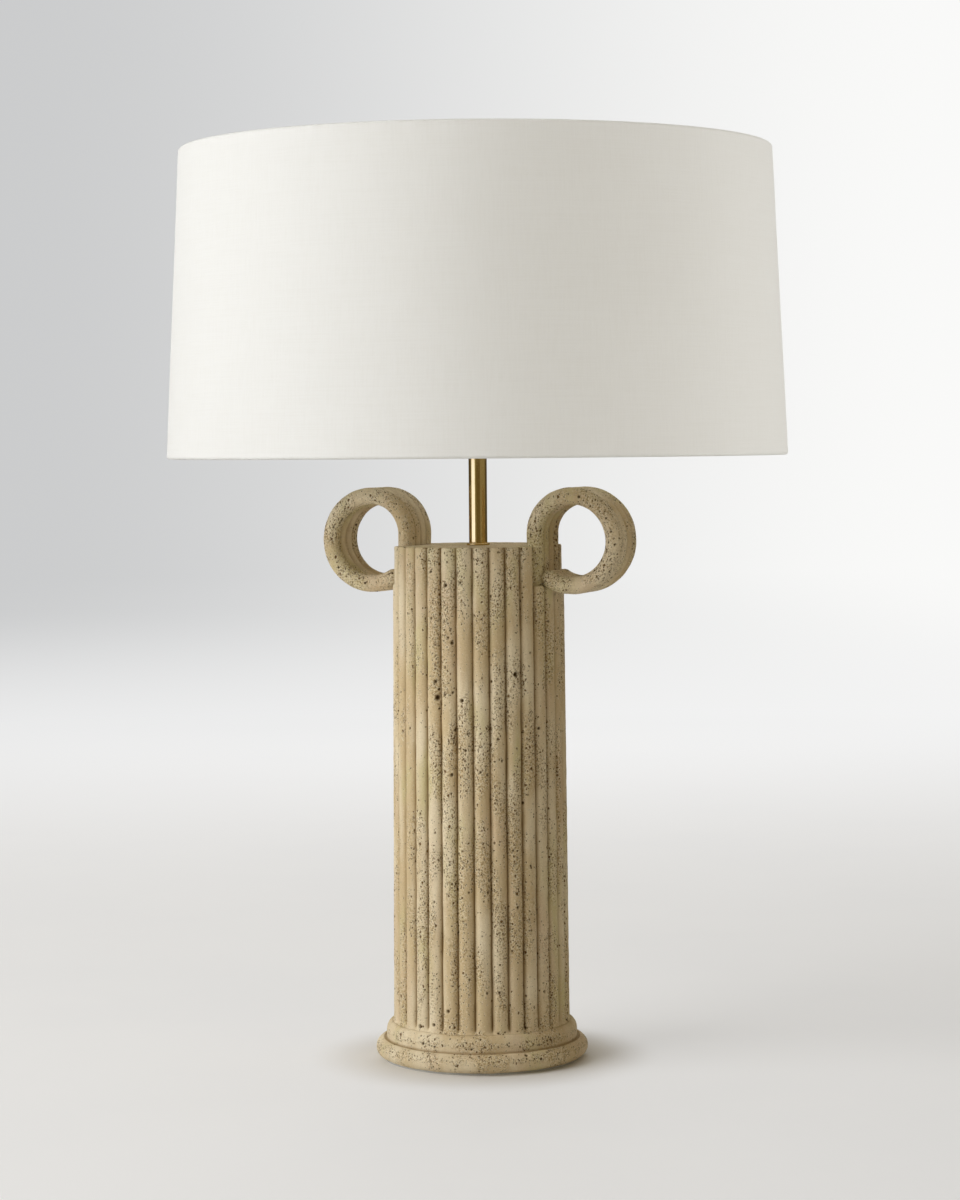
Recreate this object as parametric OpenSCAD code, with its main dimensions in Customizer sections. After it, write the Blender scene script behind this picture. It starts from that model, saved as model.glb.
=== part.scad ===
// Table lamp: a reeded stone column with two curled handles, a brass stem and a drum shade.
// The origin is on the table under the middle of the foot. +Z is up, the handles lie along X
// and the cord leaves towards +Y, the back of the lamp. All sizes are in millimetres.

/* [Foot] */
// Thickness of the felt pad under the plinth
pad_t = 1.5; // [1:0.1:4]
// Radius of the felt pad
pad_r = 81; // [72:0.5:82]
// Height of the plinth's wide half-round moulding
lower_ring_h = 15.5; // [14:0.5:22]
// Largest radius of the wide moulding
lower_ring_r = 87.6; // [86:0.2:110]
// Height of the narrow moulding on top of it
upper_ring_h = 14; // [11:0.5:30]
// Largest radius of the narrow moulding
upper_ring_r = 78.8; // [78.2:0.2:84]
// Width of the rounding on the narrow moulding's shoulder
shoulder_w = 5.6; // [3:0.1:6]
// Height of the same rounding
shoulder_h = 8.7; // [4:0.1:10]
// Radius of the hollow in the plinth's underside
plinth_hollow_r = 62; // [50:0.5:66]
// Thickness of the plinth's deck, above that hollow
plinth_deck_t = 11; // [8:0.5:14]

/* [Column] */
// Height of the column, from the plinth to its flat top
column_h = 392.5; // [250:0.5:600]
// Radius over the reeds at the top
column_top_r = 70.1; // [66:0.1:72]
// Radius over the reeds at the foot
column_foot_r = 72.8; // [69:0.1:73.2]
// Number of reeds around the column
reed_count = 32; // [28:1:40]
// Depth of the grooves between the reeds
reed_depth = 3.8; // [2:0.1:6]
// Radius of the hollow inside the column
column_hollow_r = 54; // [30:0.5:58]
// Thickness of the solid head above that hollow
column_head_t = 52; // [46:0.5:90]

/* [Handles] */
// Diameter of each rod of the strap
rod_d = 13.8; // [12.5:0.1:15]
// Number of rods side by side
rod_count = 4; // [3:1:4]
// Distance from rod to rod
rod_pitch = 11.8; // [10:0.1:12.2]
// Distance from the column's axis to the middle of the strap's straight leg
leg_x = 56.4; // [54:0.1:58]
// Depth of the leg below the column's top
leg_sink = 32; // [30.5:0.5:40]
// Radius of the loop, to the middle of the strap
loop_r = 36.3; // [34:0.1:38]
// Distance from the leg out to the middle of the loop
loop_reach = 31; // [29:0.1:34]
// Height of the loop's middle above the column's top
loop_rise = 4.5; // [2:0.1:6]
// Gap between the loop's end and the leg
tip_gap = 0.3; // [0.1:0.05:0.6]
// Number of reeds cut away at each handle
notch_reeds = 5; // [5:1:5]
// Clearance around the leg in its pocket and under the loop
pocket_gap = 0.3; // [0.1:0.05:0.5]

/* [Threaded pipe and clamp] */
// Outside diameter of the threaded pipe
pipe_d = 10.2; // [9:0.1:11]
// Bore of the threaded pipe
pipe_bore_d = 8; // [6:0.1:8.5]
// Radial clearance of the pipe in the pieces that it passes
pipe_gap = 0.2; // [0.1:0.05:0.4]
// Radius of the steel ballast plate
ballast_r = 60; // [40:0.5:61.5]
// Thickness of the ballast plate
ballast_t = 4.6; // [3:0.1:5]
// Radius of the lock washer
washer_r = 11; // [10:0.1:16]
// Thickness of the lock washer
washer_t = 1.2; // [0.8:0.1:2]
// Width of the hexagon nuts across their flats
nut_af = 16; // [15:0.1:18]
// Height of the nut under the ballast plate
foot_nut_h = 5.5; // [4:0.1:6]
// Thread left showing below that nut
thread_show = 1.5; // [0.5:0.1:2.5]

/* [Cord outlet] */
// Bore of the outlet bushing
bushing_bore_r = 3.2; // [2.5:0.1:3.6]
// Outside radius of the bushing in its hole
bushing_r = 4.4; // [4:0.1:4.8]
// Radius of the bushing's flange
flange_r = 5.6; // [5:0.1:6]
// Thickness of the flange
flange_t = 2; // [1:0.1:2.2]

/* [Stem] */
// Radius of the check ring on the column's top
check_r = 9.5; // [8.5:0.1:14]
// Thickness of the check ring
check_t = 1.7; // [1:0.1:4]
// Diameter of the stem tube
stem_d = 15; // [14:0.1:16]
// Wall of the stem tube
stem_wall = 1; // [0.6:0.1:1.2]
// Length of the stem tube
stem_l = 87; // [60:0.5:160]
// Radius of the cap on the stem
stem_cap_r = 9; // [8.2:0.1:12]
// Thickness of that cap
stem_cap_t = 3; // [2:0.1:6]
// Height of the spigots that centre the tube
spigot_h = 3; // [1:0.1:8]
// Clearance of the spigots in the tube
spigot_gap = 0.05; // [0.02:0.01:0.2]

/* [Harp] */
// Diameter of the harp's wire
wire_d = 4.6; // [3.6:0.1:5]
// Distance from the axis to the harp's feet
harp_foot_x = 29; // [26:0.5:36]
// Width of the saddle's strip
saddle_w = 12; // [11:0.1:16]
// Thickness of the saddle's strip
saddle_t = 1.8; // [1.2:0.1:3]
// Height of the saddle's upright posts
post_h = 14; // [12:0.5:18]
// Height of the nut on the saddle
saddle_nut_h = 3.5; // [2.5:0.1:5]
// Height of the harp, from the saddle to the middle of its top wire
harp_h = 214; // [195:0.5:280]
// Length of the harp's straight legs above the posts
harp_leg = 32; // [28:0.5:40]
// Radius of the bend above each leg
flare_r = 30; // [20:0.5:50]
// Outward lean of the harp's sides in degrees
flare_a = 14; // [10:0.5:20]
// Half length of the flat at the harp's top
harp_flat = 8; // [6:0.5:12]
// Height of the sliding ferrules
ferrule_h = 22; // [20:0.5:26]
// Wall of the ferrules
ferrule_wall = 0.8; // [0.5:0.1:1.5]
// Radial clearance of the ferrules on the wire
ferrule_gap = 0.08; // [0.05:0.01:0.1]
// Radius of the plate on the harp's top
top_plate_r = 8.5; // [8:0.1:12]
// Thickness of that plate above the wire
top_plate_t = 1.6; // [1:0.1:3]
// Diameter of the threaded stud
stud_d = 6.3; // [5:0.1:7]
// Length of the stud
stud_l = 12; // [9:0.5:14]
// Radial clearance on the stud
stud_gap = 0.08; // [0.05:0.01:0.1]

/* [Socket] */
// Outside radius of the socket cap
cap_r = 18; // [17.8:0.1:19]
// Wall of the socket cap
cap_wall = 1; // [0.6:0.1:1.2]
// Radius of the cap's neck
cap_neck_r = 8; // [7.5:0.1:10]
// Height of the cap's neck
cap_neck_h = 7; // [6:0.1:10]
// Height of the cap's flare
cap_flare_h = 9; // [6:0.1:12]
// Height of the cap's straight rim
cap_rim_h = 7; // [5:0.1:9]
// Outside radius of the brass shell
shell_r = 16.9; // [16.8:0.05:16.95]
// Wall of the brass shell
shell_wall = 0.6; // [0.4:0.05:0.7]
// Wall of the paper insulator
insulator_wall = 0.7; // [0.4:0.05:0.8]
// Radial play between shell, insulator and screw shell
nest_gap = 0.1; // [0.05:0.05:0.15]
// Height of the shell above the cap's flare
shell_h = 42; // [40:0.5:60]
// Radius of the socket's moulded body
body_r = 12; // [11.5:0.1:12.4]
// Height of the body's flange above the cap's flare
body_h = 14.5; // [14:0.1:18]
// Thickness of the body's flange
body_flange_t = 3; // [2:0.1:4]
// Inside radius of the brass screw shell
screw_shell_r = 13.3; // [13.25:0.05:13.5]
// Wall of the screw shell
screw_shell_wall = 0.5; // [0.3:0.05:0.6]
// How far the screw shell ends below the brass shell's rim
screw_shell_drop = 1.5; // [0.5:0.1:4]
// How far the insulator ends below the same rim
insulator_drop = 1; // [0.5:0.1:3]
// Radius of the socket's centre contact
contact_r = 4.5; // [3:0.1:7]
// Thickness of the centre contact
contact_t = 1; // [0.6:0.1:2]
// Radius of the terminal screws' heads
terminal_head_r = 3; // [2.2:0.1:3.6]
// Thickness of their heads
terminal_head_t = 1.8; // [1:0.1:2]
// Radius of their shanks
terminal_r = 1.5; // [1:0.1:2]
// Length of their shanks
terminal_l = 5; // [3:0.1:6]
// Radius of the screw in the cap's neck
set_screw_r = 1.5; // [1:0.1:2]
// Length of the screw that stands out of the neck
set_screw_out = 2.2; // [1:0.1:4]

/* [Turn knob] */
// Radius of the knob
knob_r = 6; // [5:0.1:7]
// Length of the knob
knob_l = 10; // [8:0.5:14]
// Number of grooves around the knob
knob_grooves = 14; // [10:1:16]
// Radius of those grooves
knob_groove_r = 0.9; // [0.4:0.1:1]
// Length of the plain collar behind the grooves
knob_collar_l = 1.5; // [0.5:0.1:3]
// Radius of the shaft
shaft_r = 2.2; // [1.6:0.1:2.6]
// Radial clearance of the shaft in the socket's body
shaft_gap = 0.06; // [0.03:0.01:0.1]
// Radial clearance of the shaft in the shell, the insulator and over the cap's rim
shaft_hole_gap = 1; // [0.5:0.1:1.2]
// Gap between the shell and the knob
knob_stand_off = 2.5; // [2:0.1:5]
// Depth of the shaft in the socket's body
shaft_in = 5; // [3:0.1:6]

/* [Bulb] */
// Radius of the globe
globe_r = 30; // [27:0.5:32]
// Height of the globe's middle above the bulb's contact
globe_z = 77; // [70:0.5:84]
// Thickness of the glass
glass_t = 0.8; // [0.5:0.1:1.2]
// Radius of the bulb's screw cap
bulb_cap_r = 13; // [12.6:0.05:13.1]
// Wall of that cap
bulb_cap_wall = 0.5; // [0.3:0.05:0.7]
// Height of that cap
bulb_cap_h = 23; // [20:0.5:26]
// Height of the cone of black glass under the cap
bulb_cone_h = 3; // [2:0.1:5]
// Radius of the bulb's contact
bulb_contact_r = 4.4; // [3:0.1:6]
// Thickness of the bulb's contact
bulb_contact_t = 1; // [0.6:0.1:2]
// Width of the black glass left showing around the contact
bulb_glass_rim = 1; // [0.5:0.1:3]

/* [Shade] */
// Radius of the shade at its lower rim
shade_bottom_r = 254; // [200:0.5:300]
// Radius of the shade at its upper rim
shade_top_r = 241.5; // [190:0.5:290]
// Height of the shade
shade_h = 250.4; // [215:0.2:300]
// Thickness of the fabric cover
fabric_t = 0.8; // [0.5:0.1:1.5]
// Thickness of the stiff liner inside it
liner_t = 0.8; // [0.5:0.1:1.5]
// Diameter of the wire rings in the rims
ring_wire_d = 3.2; // [2.4:0.1:5]
// Thickness of the fabric rolled round the wire rings
roll_t = 0.8; // [0.5:0.1:1.5]
// Clearance between the wire rings and what lies round them
ring_gap = 0.05; // [0.02:0.01:0.1]
// Depth of the spider's hub below the upper rim
spider_drop = 10; // [6:0.5:40]
// Radius of the spider's hub
hub_r = 11; // [10:0.1:20]
// Thickness of the spider's hub
hub_t = 1.6; // [1:0.1:3]
// Diameter of the spider's arms
arm_d = 3.6; // [3:0.1:4.4]
// Number of the spider's arms
arm_count = 3; // [3:1:4]

/* [Finial] */
// Radius of the finial's foot
finial_foot_r = 7.6; // [7:0.1:10]
// Height of the finial's foot
finial_foot_h = 2.4; // [1:0.1:4]
// Radius of the finial's neck
finial_neck_r = 5; // [4.8:0.1:6]
// Radius of the finial's ball
finial_ball_r = 7.8; // [6.5:0.1:12]
// Height of the ball's middle above the finial's foot
finial_ball_z = 15.5; // [15:0.1:24]

/* [Hidden] */
$fn = 96;

// Colours
stone = [0.80, 0.72, 0.57];
brass = [0.71, 0.58, 0.32];
steel = [0.62, 0.63, 0.65];
zinc = [0.75, 0.75, 0.73];
linen = [0.96, 0.95, 0.92];
styrene = [0.99, 0.99, 0.98];
black = [0.09, 0.09, 0.09];
cream_paper = [0.86, 0.80, 0.66];
felt = [0.80, 0.80, 0.78];
opal_glass = [0.98, 0.98, 0.96];

// How far a cut runs past the face that it opens
over = 1;

// Heights from the table up
plinth_top = pad_t + lower_ring_h + upper_ring_h;
hollow_top = plinth_top - plinth_deck_t;
foot_nut_z = hollow_top - ballast_t - washer_t - foot_nut_h;
pipe_z = foot_nut_z - thread_show;
column_top = plinth_top + column_h;
stem_z = column_top + check_t;
stem_cap_z = stem_z + stem_l;
saddle_z = stem_cap_z + stem_cap_t;
saddle_top = saddle_z + saddle_t;
socket_z = saddle_top + saddle_nut_h;
pipe_end = socket_z + cap_neck_h;
post_top = saddle_top + post_h;
harp_top = saddle_top + harp_h;
hub_z = harp_top + wire_d / 2 + top_plate_t;
finial_z = hub_z + hub_t;
shade_top = finial_z + spider_drop;
shade_bottom = shade_top - shade_h;

// Plinth and cord outlet
bead_r = lower_ring_h / 2;
bead_z = pad_t + bead_r;
bead_x = lower_ring_r - bead_r;
spot_gap = 0.2;
spot_y = bead_x + sqrt(bead_r * bead_r - pow(flange_r + spot_gap, 2));
pipe_hole_r = pipe_d / 2 + pipe_gap;
arc_steps = 8;

// Column: a reed is highest on its middle line and falls away to the grooves with this power
reed_power = 3;
reed_steps = 10;
reed_a = 360 / reed_count;
notch_a = notch_reeds * 180 / reed_count;
cut_over = 5;

// Handles
loop_x = leg_x + loop_reach;
loop_z = column_top + loop_rise;
bend_z = loop_z + loop_r - loop_reach;
leg_foot = column_top - leg_sink;
strap_w = (rod_count - 1) * rod_pitch + rod_d;
tip_x = leg_x + rod_d / 2 + tip_gap;
tip_a = -acos((tip_x - loop_x) / (loop_r - rod_d / 2)) - cut_over;

// Harp: the radius of its crown follows from its height, its feet and the lean of its sides
leg_rise = harp_h - post_h - harp_leg - flare_r * sin(flare_a);
inset = harp_flat - harp_foot_x - flare_r * (1 - cos(flare_a));
crown_r = (leg_rise - inset / tan(flare_a)) / (cos(flare_a) / tan(flare_a) + 1 + sin(flare_a));
leg_top = post_top + harp_leg;
flare_steps = 4;
crown_steps = 12;
wire_sides = 12;

// Socket and bulb
flare_top = socket_z + cap_neck_h + cap_flare_h;
cap_top = flare_top + cap_rim_h;
insulator_r = shell_r - shell_wall - nest_gap;
body_flange_r = insulator_r - insulator_wall - nest_gap;
body_z = socket_z + cap_neck_h + nest_gap
    + (body_r - cap_neck_r + cap_wall) * cap_flare_h / (cap_r - cap_neck_r);
flange_z = flare_top + body_h;
seat_z = flange_z + body_flange_t;
bulb_z = seat_z + contact_t;
shell_top = flare_top + shell_h;
knob_y = -(cap_r + knob_stand_off);
knob_z = cap_top + shaft_r + shaft_hole_gap;
terminal_z = flare_top + body_h / 2;

// Shade
roll_r = ring_wire_d / 2 + ring_gap + roll_t;
shade_slope = (shade_top_r - shade_bottom_r) / shade_h;
top_ring_z = shade_top - roll_r;
bottom_ring_z = shade_bottom + roll_r;
wall_top = shade_top - 2 * roll_r;
wall_bottom = shade_bottom + 2 * roll_r;

function shade_r(z) = shade_bottom_r + shade_slope * (z - shade_bottom);

// A ring of rectangular section between two radii
module ring(z, h, inner, outer) {
    translate([0, 0, z])
        difference() {
            cylinder(h = h, r = outer);
            translate([0, 0, -over])
                cylinder(h = h + 2 * over, r = inner);
        }
}

// A hexagon nut with a round hole
module hex_nut(z, h) {
    translate([0, 0, z])
        difference() {
            cylinder(h = h, r = nut_af / 2 / cos(30), $fn = 6);
            translate([0, 0, -over])
                cylinder(h = h + 2 * over, r = pipe_hole_r);
        }
}

// An arc of a section, turned in the XZ plane from angle a0 to a1 about the point (x, z)
module arc_xz(x, z, r, a0, a1) {
    translate([x, 0, z])
        rotate([90, 0, 0])
            rotate([0, 0, a0])
                rotate_extrude(angle = a1 - a0)
                    translate([r, 0])
                        children();
}

// Foot

module felt_pad() {
    color(felt)
        cylinder(h = pad_t, r = pad_r);
}

// Outline of the plinth: a half-round bead below, a straight moulding with a round shoulder above
module plinth_outline() {
    translate([0, pad_t])
        square([bead_x, lower_ring_h]);
    translate([bead_x, bead_z])
        circle(r = bead_r);
    shoulder = [for (i = [0:arc_steps])
        let (a = 90 * i / arc_steps)
        [upper_ring_r - shoulder_w + shoulder_w * cos(a), plinth_top - shoulder_h + shoulder_h * sin(a)]];
    polygon(concat([[0, bead_z], [upper_ring_r, bead_z]], shoulder, [[0, plinth_top]]));
}

module plinth() {
    color(stone)
        difference() {
            rotate_extrude()
                plinth_outline();
            translate([0, 0, pad_t - over])
                cylinder(h = hollow_top - pad_t + over, r = plinth_hollow_r);
            cylinder(h = plinth_top + over, r = pipe_hole_r);
            translate([0, plinth_hollow_r - cut_over, bead_z])
                rotate([-90, 0, 0])
                    cylinder(h = lower_ring_r, r = bushing_r);
            translate([0, spot_y, bead_z])
                rotate([-90, 0, 0])
                    cylinder(h = lower_ring_r, r = flange_r + spot_gap);
        }
}

module cord_bushing() {
    color(black)
        translate([0, plinth_hollow_r, bead_z])
            rotate([-90, 0, 0])
                difference() {
                    union() {
                        cylinder(h = spot_y - plinth_hollow_r, r = bushing_r);
                        translate([0, 0, spot_y - plinth_hollow_r])
                            cylinder(h = flange_t, r = flange_r);
                    }
                    translate([0, 0, -over])
                        cylinder(h = spot_y - plinth_hollow_r + flange_t + 2 * over, r = bushing_bore_r);
                }
}

module ballast_plate() {
    color(steel)
        ring(hollow_top - ballast_t, ballast_t, pipe_hole_r, ballast_r);
}

module lock_washer() {
    color(zinc)
        ring(hollow_top - ballast_t - washer_t, washer_t, pipe_hole_r, washer_r);
}

module foot_nut() {
    color(zinc)
        hex_nut(foot_nut_z, foot_nut_h);
}

module threaded_pipe() {
    color(zinc)
        ring(pipe_z, pipe_end - pipe_z, pipe_bore_d / 2, pipe_d / 2);
}

// Column and handles

// Section of the column at its foot. u runs from -1 to 1 across a reed
module reeded_section() {
    polygon([for (k = [0:reed_count - 1], i = [0:reed_steps - 1])
        let (u = -1 + 2 * i / reed_steps)
        let (a = reed_a * (k + u / 2))
        let (r = column_foot_r - reed_depth * pow(abs(u), reed_power))
        [r * cos(a), r * sin(a)]]);
}

// What is cut from the column for one handle: the flat between two grooves, the pocket for the
// inner half of the leg, and the hollow under the loop where it comes back to the leg
module handle_notch() {
    far = column_foot_r + cut_over;
    depth = leg_sink + cut_over;
    pocket_x = leg_x - rod_d / 2 - pocket_gap;
    pocket_w = strap_w + 2 * pocket_gap;
    inner_w = leg_x * tan(notch_a) + pocket_gap;
    outer_w = far * tan(notch_a) + pocket_gap;
    translate([0, 0, leg_foot])
        linear_extrude(depth)
            polygon([[leg_x, -inner_w], [far, -outer_w], [far, outer_w], [leg_x, inner_w]]);
    translate([pocket_x, -pocket_w / 2, leg_foot])
        cube([leg_x - pocket_x + over, pocket_w, depth]);
    intersection() {
        translate([leg_x, -pocket_w / 2, leg_foot - leg_sink])
            cube([far, pocket_w, 2 * leg_sink]);
        translate([loop_x, pocket_w / 2 + over, loop_z])
            rotate([90, 0, 0])
                cylinder(h = pocket_w + 2 * over, r = loop_r + rod_d / 2 + pocket_gap);
    }
}

module column() {
    color(stone)
        difference() {
            translate([0, 0, plinth_top])
                linear_extrude(column_h, scale = column_top_r / column_foot_r)
                    reeded_section();
            translate([0, 0, plinth_top - over])
                cylinder(h = column_h - column_head_t + over, r = column_hollow_r);
            translate([0, 0, plinth_top])
                cylinder(h = column_h + over, r = pipe_hole_r);
            handle_notch();
            mirror([1, 0, 0])
                handle_notch();
        }
}

// Section across the strap: rods side by side, with its long side along Y
module strap_section() {
    for (i = [0:rod_count - 1])
        translate([0, (i - (rod_count - 1) / 2) * rod_pitch])
            circle(d = rod_d);
}

// The leg rises from the column, bends over at the top, loops outwards and comes back to the leg
module handle() {
    translate([leg_x, 0, leg_foot])
        linear_extrude(bend_z - leg_foot)
            strap_section();
    difference() {
        union() {
            arc_xz(loop_x, bend_z, loop_reach, 90, 180)
                strap_section();
            arc_xz(loop_x, loop_z, loop_r, 90, tip_a)
                strap_section();
        }
        translate([tip_x - 2 * loop_r, -strap_w, loop_z - 2 * loop_r])
            cube([2 * loop_r, 2 * strap_w, 2 * loop_r]);
    }
}

module right_handle() {
    color(stone)
        handle();
}

module left_handle() {
    color(stone)
        mirror([1, 0, 0])
            handle();
}

// Stem

module check_ring() {
    color(brass)
        difference() {
            union() {
                translate([0, 0, column_top])
                    cylinder(h = check_t, r = check_r);
                translate([0, 0, stem_z])
                    cylinder(h = spigot_h, r = stem_d / 2 - stem_wall - spigot_gap);
            }
            translate([0, 0, column_top - over])
                cylinder(h = check_t + spigot_h + 2 * over, r = pipe_hole_r);
        }
}

module stem_tube() {
    color(brass)
        ring(stem_z, stem_l, stem_d / 2 - stem_wall, stem_d / 2);
}

module stem_cap() {
    color(brass)
        difference() {
            union() {
                translate([0, 0, stem_cap_z])
                    cylinder(h = stem_cap_t, r = stem_cap_r);
                translate([0, 0, stem_cap_z - spigot_h])
                    cylinder(h = spigot_h, r = stem_d / 2 - stem_wall - spigot_gap);
            }
            translate([0, 0, stem_cap_z - spigot_h - over])
                cylinder(h = stem_cap_t + spigot_h + 2 * over, r = pipe_hole_r);
        }
}

// Harp

module harp_saddle() {
    color(brass)
        difference() {
            union() {
                translate([-harp_foot_x, -saddle_w / 2, saddle_z])
                    cube([2 * harp_foot_x, saddle_w, saddle_t]);
                for (side = [-1, 1])
                    translate([side * harp_foot_x, 0, saddle_z]) {
                        cylinder(h = saddle_t, r = saddle_w / 2);
                        cylinder(h = saddle_t + post_h, r = wire_d / 2);
                    }
            }
            translate([0, 0, saddle_z - over])
                cylinder(h = saddle_t + 2 * over, r = pipe_hole_r);
        }
}

module saddle_nut() {
    color(brass)
        hex_nut(saddle_top, saddle_nut_h);
}

// Points of the bow's right half as [x, z, heading], where the heading leans from +Z towards +X
function bow_half() = concat(
    [[harp_foot_x, post_top, 0]],
    [for (i = [0:flare_steps])
        let (a = flare_a * i / flare_steps)
        [harp_foot_x + flare_r * (1 - cos(a)), leg_top + flare_r * sin(a), a]],
    [for (i = [0:crown_steps])
        let (a = flare_a - (flare_a + 90) * i / crown_steps)
        [harp_flat + crown_r * cos(a), harp_top - crown_r * (1 + sin(a)), a]]);

// The whole bow, with the left half running back down
function bow() = let (half = bow_half())
    concat(half, [for (i = [len(half) - 1:-1:0]) [-half[i][0], half[i][1], 180 - half[i][2]]]);

// A tube along points in the XZ plane, one ring of corners square to the heading at each
module bent_wire(path, r) {
    last = len(path) - 1;
    corners = [for (p = path, j = [0:wire_sides - 1])
        let (t = 360 * j / wire_sides)
        [p[0] + r * cos(t) * cos(p[2]), r * sin(t), p[1] - r * cos(t) * sin(p[2])]];
    walls = [for (i = [0:last - 1], j = [0:wire_sides - 1])
        let (k = (j + 1) % wire_sides, a = i * wire_sides, b = a + wire_sides)
        each [[a + j, b + j, b + k], [a + j, b + k, a + k]]];
    foot = [for (j = [0:wire_sides - 1]) j];
    end = [for (j = [wire_sides - 1:-1:0]) last * wire_sides + j];
    polyhedron(points = corners, faces = concat([foot, end], walls));
}

module harp_wire() {
    color(brass)
        bent_wire(bow(), wire_d / 2);
}

module harp_top_plate() {
    color(brass)
        difference() {
            translate([0, 0, harp_top])
                cylinder(h = wire_d / 2 + top_plate_t, r = top_plate_r);
            translate([-top_plate_r - over, 0, harp_top])
                rotate([0, 90, 0])
                    cylinder(h = 2 * (top_plate_r + over), d = wire_d);
        }
}

module harp_stud() {
    color(brass)
        translate([0, 0, hub_z])
            cylinder(h = stud_l, d = stud_d);
}

module ferrule(side) {
    color(brass)
        translate([side * harp_foot_x, 0, 0])
            ring(saddle_top, ferrule_h, wire_d / 2 + ferrule_gap, wire_d / 2 + ferrule_gap + ferrule_wall);
}

module right_ferrule() {
    ferrule(1);
}

module left_ferrule() {
    ferrule(-1);
}

// Socket

module socket_cap() {
    color(brass)
        difference() {
            rotate_extrude()
                polygon([[pipe_hole_r, socket_z], [cap_neck_r, socket_z],
                         [cap_neck_r, socket_z + cap_neck_h - cap_wall], [cap_r, flare_top - cap_wall],
                         [cap_r, cap_top], [cap_r - cap_wall, cap_top], [cap_r - cap_wall, flare_top],
                         [cap_neck_r - cap_wall, socket_z + cap_neck_h], [pipe_hole_r, socket_z + cap_neck_h]]);
            translate([0, 0, socket_z + cap_neck_h / 2])
                rotate([-90, 0, 0])
                    cylinder(h = cap_neck_r + over, r = set_screw_r);
        }
}

module cap_set_screw() {
    color(steel)
        translate([0, pipe_hole_r, socket_z + cap_neck_h / 2])
            rotate([-90, 0, 0])
                cylinder(h = cap_neck_r - pipe_hole_r + set_screw_out, r = set_screw_r);
}

// A hole towards the front for the knob's shaft
module shaft_hole(from_y, to_y, r) {
    translate([0, from_y, knob_z])
        rotate([90, 0, 0])
            cylinder(h = from_y - to_y, r = r);
}

module socket_shell() {
    color(brass)
        difference() {
            ring(flare_top, shell_h, shell_r - shell_wall, shell_r);
            shaft_hole(0, -cap_r, shaft_r + shaft_hole_gap);
        }
}

module shell_insulator() {
    color(cream_paper)
        difference() {
            ring(flare_top, shell_h - insulator_drop, insulator_r - insulator_wall, insulator_r);
            shaft_hole(0, -cap_r, shaft_r + shaft_hole_gap);
        }
}

module socket_body() {
    color(black)
        difference() {
            union() {
                translate([0, 0, body_z])
                    cylinder(h = flange_z - body_z, r = body_r);
                translate([0, 0, flange_z])
                    cylinder(h = body_flange_t, r = body_flange_r);
            }
            shaft_hole(-body_r + shaft_in, -cap_r, shaft_r + shaft_gap);
            for (side = [-1, 1])
                translate([side * (body_r - terminal_l), 0, terminal_z])
                    rotate([0, side * 90, 0])
                        cylinder(h = terminal_l + over, r = terminal_r);
        }
}

module screw_shell() {
    color(brass)
        ring(seat_z, shell_top - screw_shell_drop - seat_z, screw_shell_r, screw_shell_r + screw_shell_wall);
}

module centre_contact() {
    color(brass)
        translate([0, 0, seat_z])
            cylinder(h = contact_t, r = contact_r);
}

module terminal_screw(side) {
    translate([side * (body_r - terminal_l), 0, terminal_z])
        rotate([0, side * 90, 0]) {
            cylinder(h = terminal_l, r = terminal_r);
            translate([0, 0, terminal_l])
                cylinder(h = terminal_head_t, r = terminal_head_r);
        }
}

module live_terminal_screw() {
    color(brass)
        terminal_screw(1);
}

module neutral_terminal_screw() {
    color(zinc)
        terminal_screw(-1);
}

// Turn knob

module knob_shaft() {
    color(steel)
        translate([0, -body_r + shaft_in, knob_z])
            rotate([90, 0, 0])
                cylinder(h = -body_r + shaft_in - knob_y + knob_l / 2, r = shaft_r);
}

module turn_knob() {
    color(black)
        translate([0, knob_y, knob_z])
            rotate([90, 0, 0])
                difference() {
                    cylinder(h = knob_l, r = knob_r);
                    translate([0, 0, -over])
                        cylinder(h = knob_l / 2 + over, r = shaft_r);
                    for (i = [0:knob_grooves - 1])
                        rotate([0, 0, 360 / knob_grooves * i])
                            translate([knob_r, 0, knob_collar_l])
                                cylinder(h = knob_l, r = knob_groove_r);
                }
}

// Shade

// A wall of the shade between the rolled edges, set in from the outer face
module shade_wall(inset_t, t) {
    rotate_extrude($fn = 180)
        polygon([[shade_r(wall_bottom) - inset_t, wall_bottom], [shade_r(wall_top) - inset_t, wall_top],
                 [shade_r(wall_top) - inset_t - t, wall_top], [shade_r(wall_bottom) - inset_t - t, wall_bottom]]);
}

module shade_cover() {
    color(linen)
        shade_wall(0, fabric_t);
}

module shade_liner() {
    color(styrene)
        shade_wall(fabric_t, liner_t);
}

module wire_ring(z) {
    color(zinc)
        rotate_extrude($fn = 180)
            translate([shade_r(z) - roll_r, z])
                circle(d = ring_wire_d, $fn = 32);
}

module top_wire_ring() {
    wire_ring(top_ring_z);
}

module bottom_wire_ring() {
    wire_ring(bottom_ring_z);
}

module rolled_edge(z) {
    rotate_extrude($fn = 180)
        translate([shade_r(z) - roll_r, z])
            difference() {
                circle(r = roll_r, $fn = 32);
                circle(d = ring_wire_d + 2 * ring_gap, $fn = 32);
            }
}

// One arm of the spider, from the hub to the top wire ring, with its radius made larger by grow
module spider_arm(i, grow) {
    hub_mid = hub_z + hub_t / 2;
    reach = shade_r(top_ring_z) - roll_r - ring_wire_d / 2 - ring_gap;
    rise = top_ring_z - hub_mid;
    start = hub_r - arm_d;
    rotate([0, 0, 90 + i * 360 / arm_count])
        translate([start, 0, hub_mid])
            rotate([0, atan2(reach - start, rise), 0])
                cylinder(h = norm([reach - start, rise]), r = arm_d / 2 + grow);
}

module top_rolled_edge() {
    color(linen)
        difference() {
            rolled_edge(top_ring_z);
            for (i = [0:arm_count - 1])
                spider_arm(i, ring_gap);
        }
}

module bottom_rolled_edge() {
    color(linen)
        rolled_edge(bottom_ring_z);
}

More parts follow.
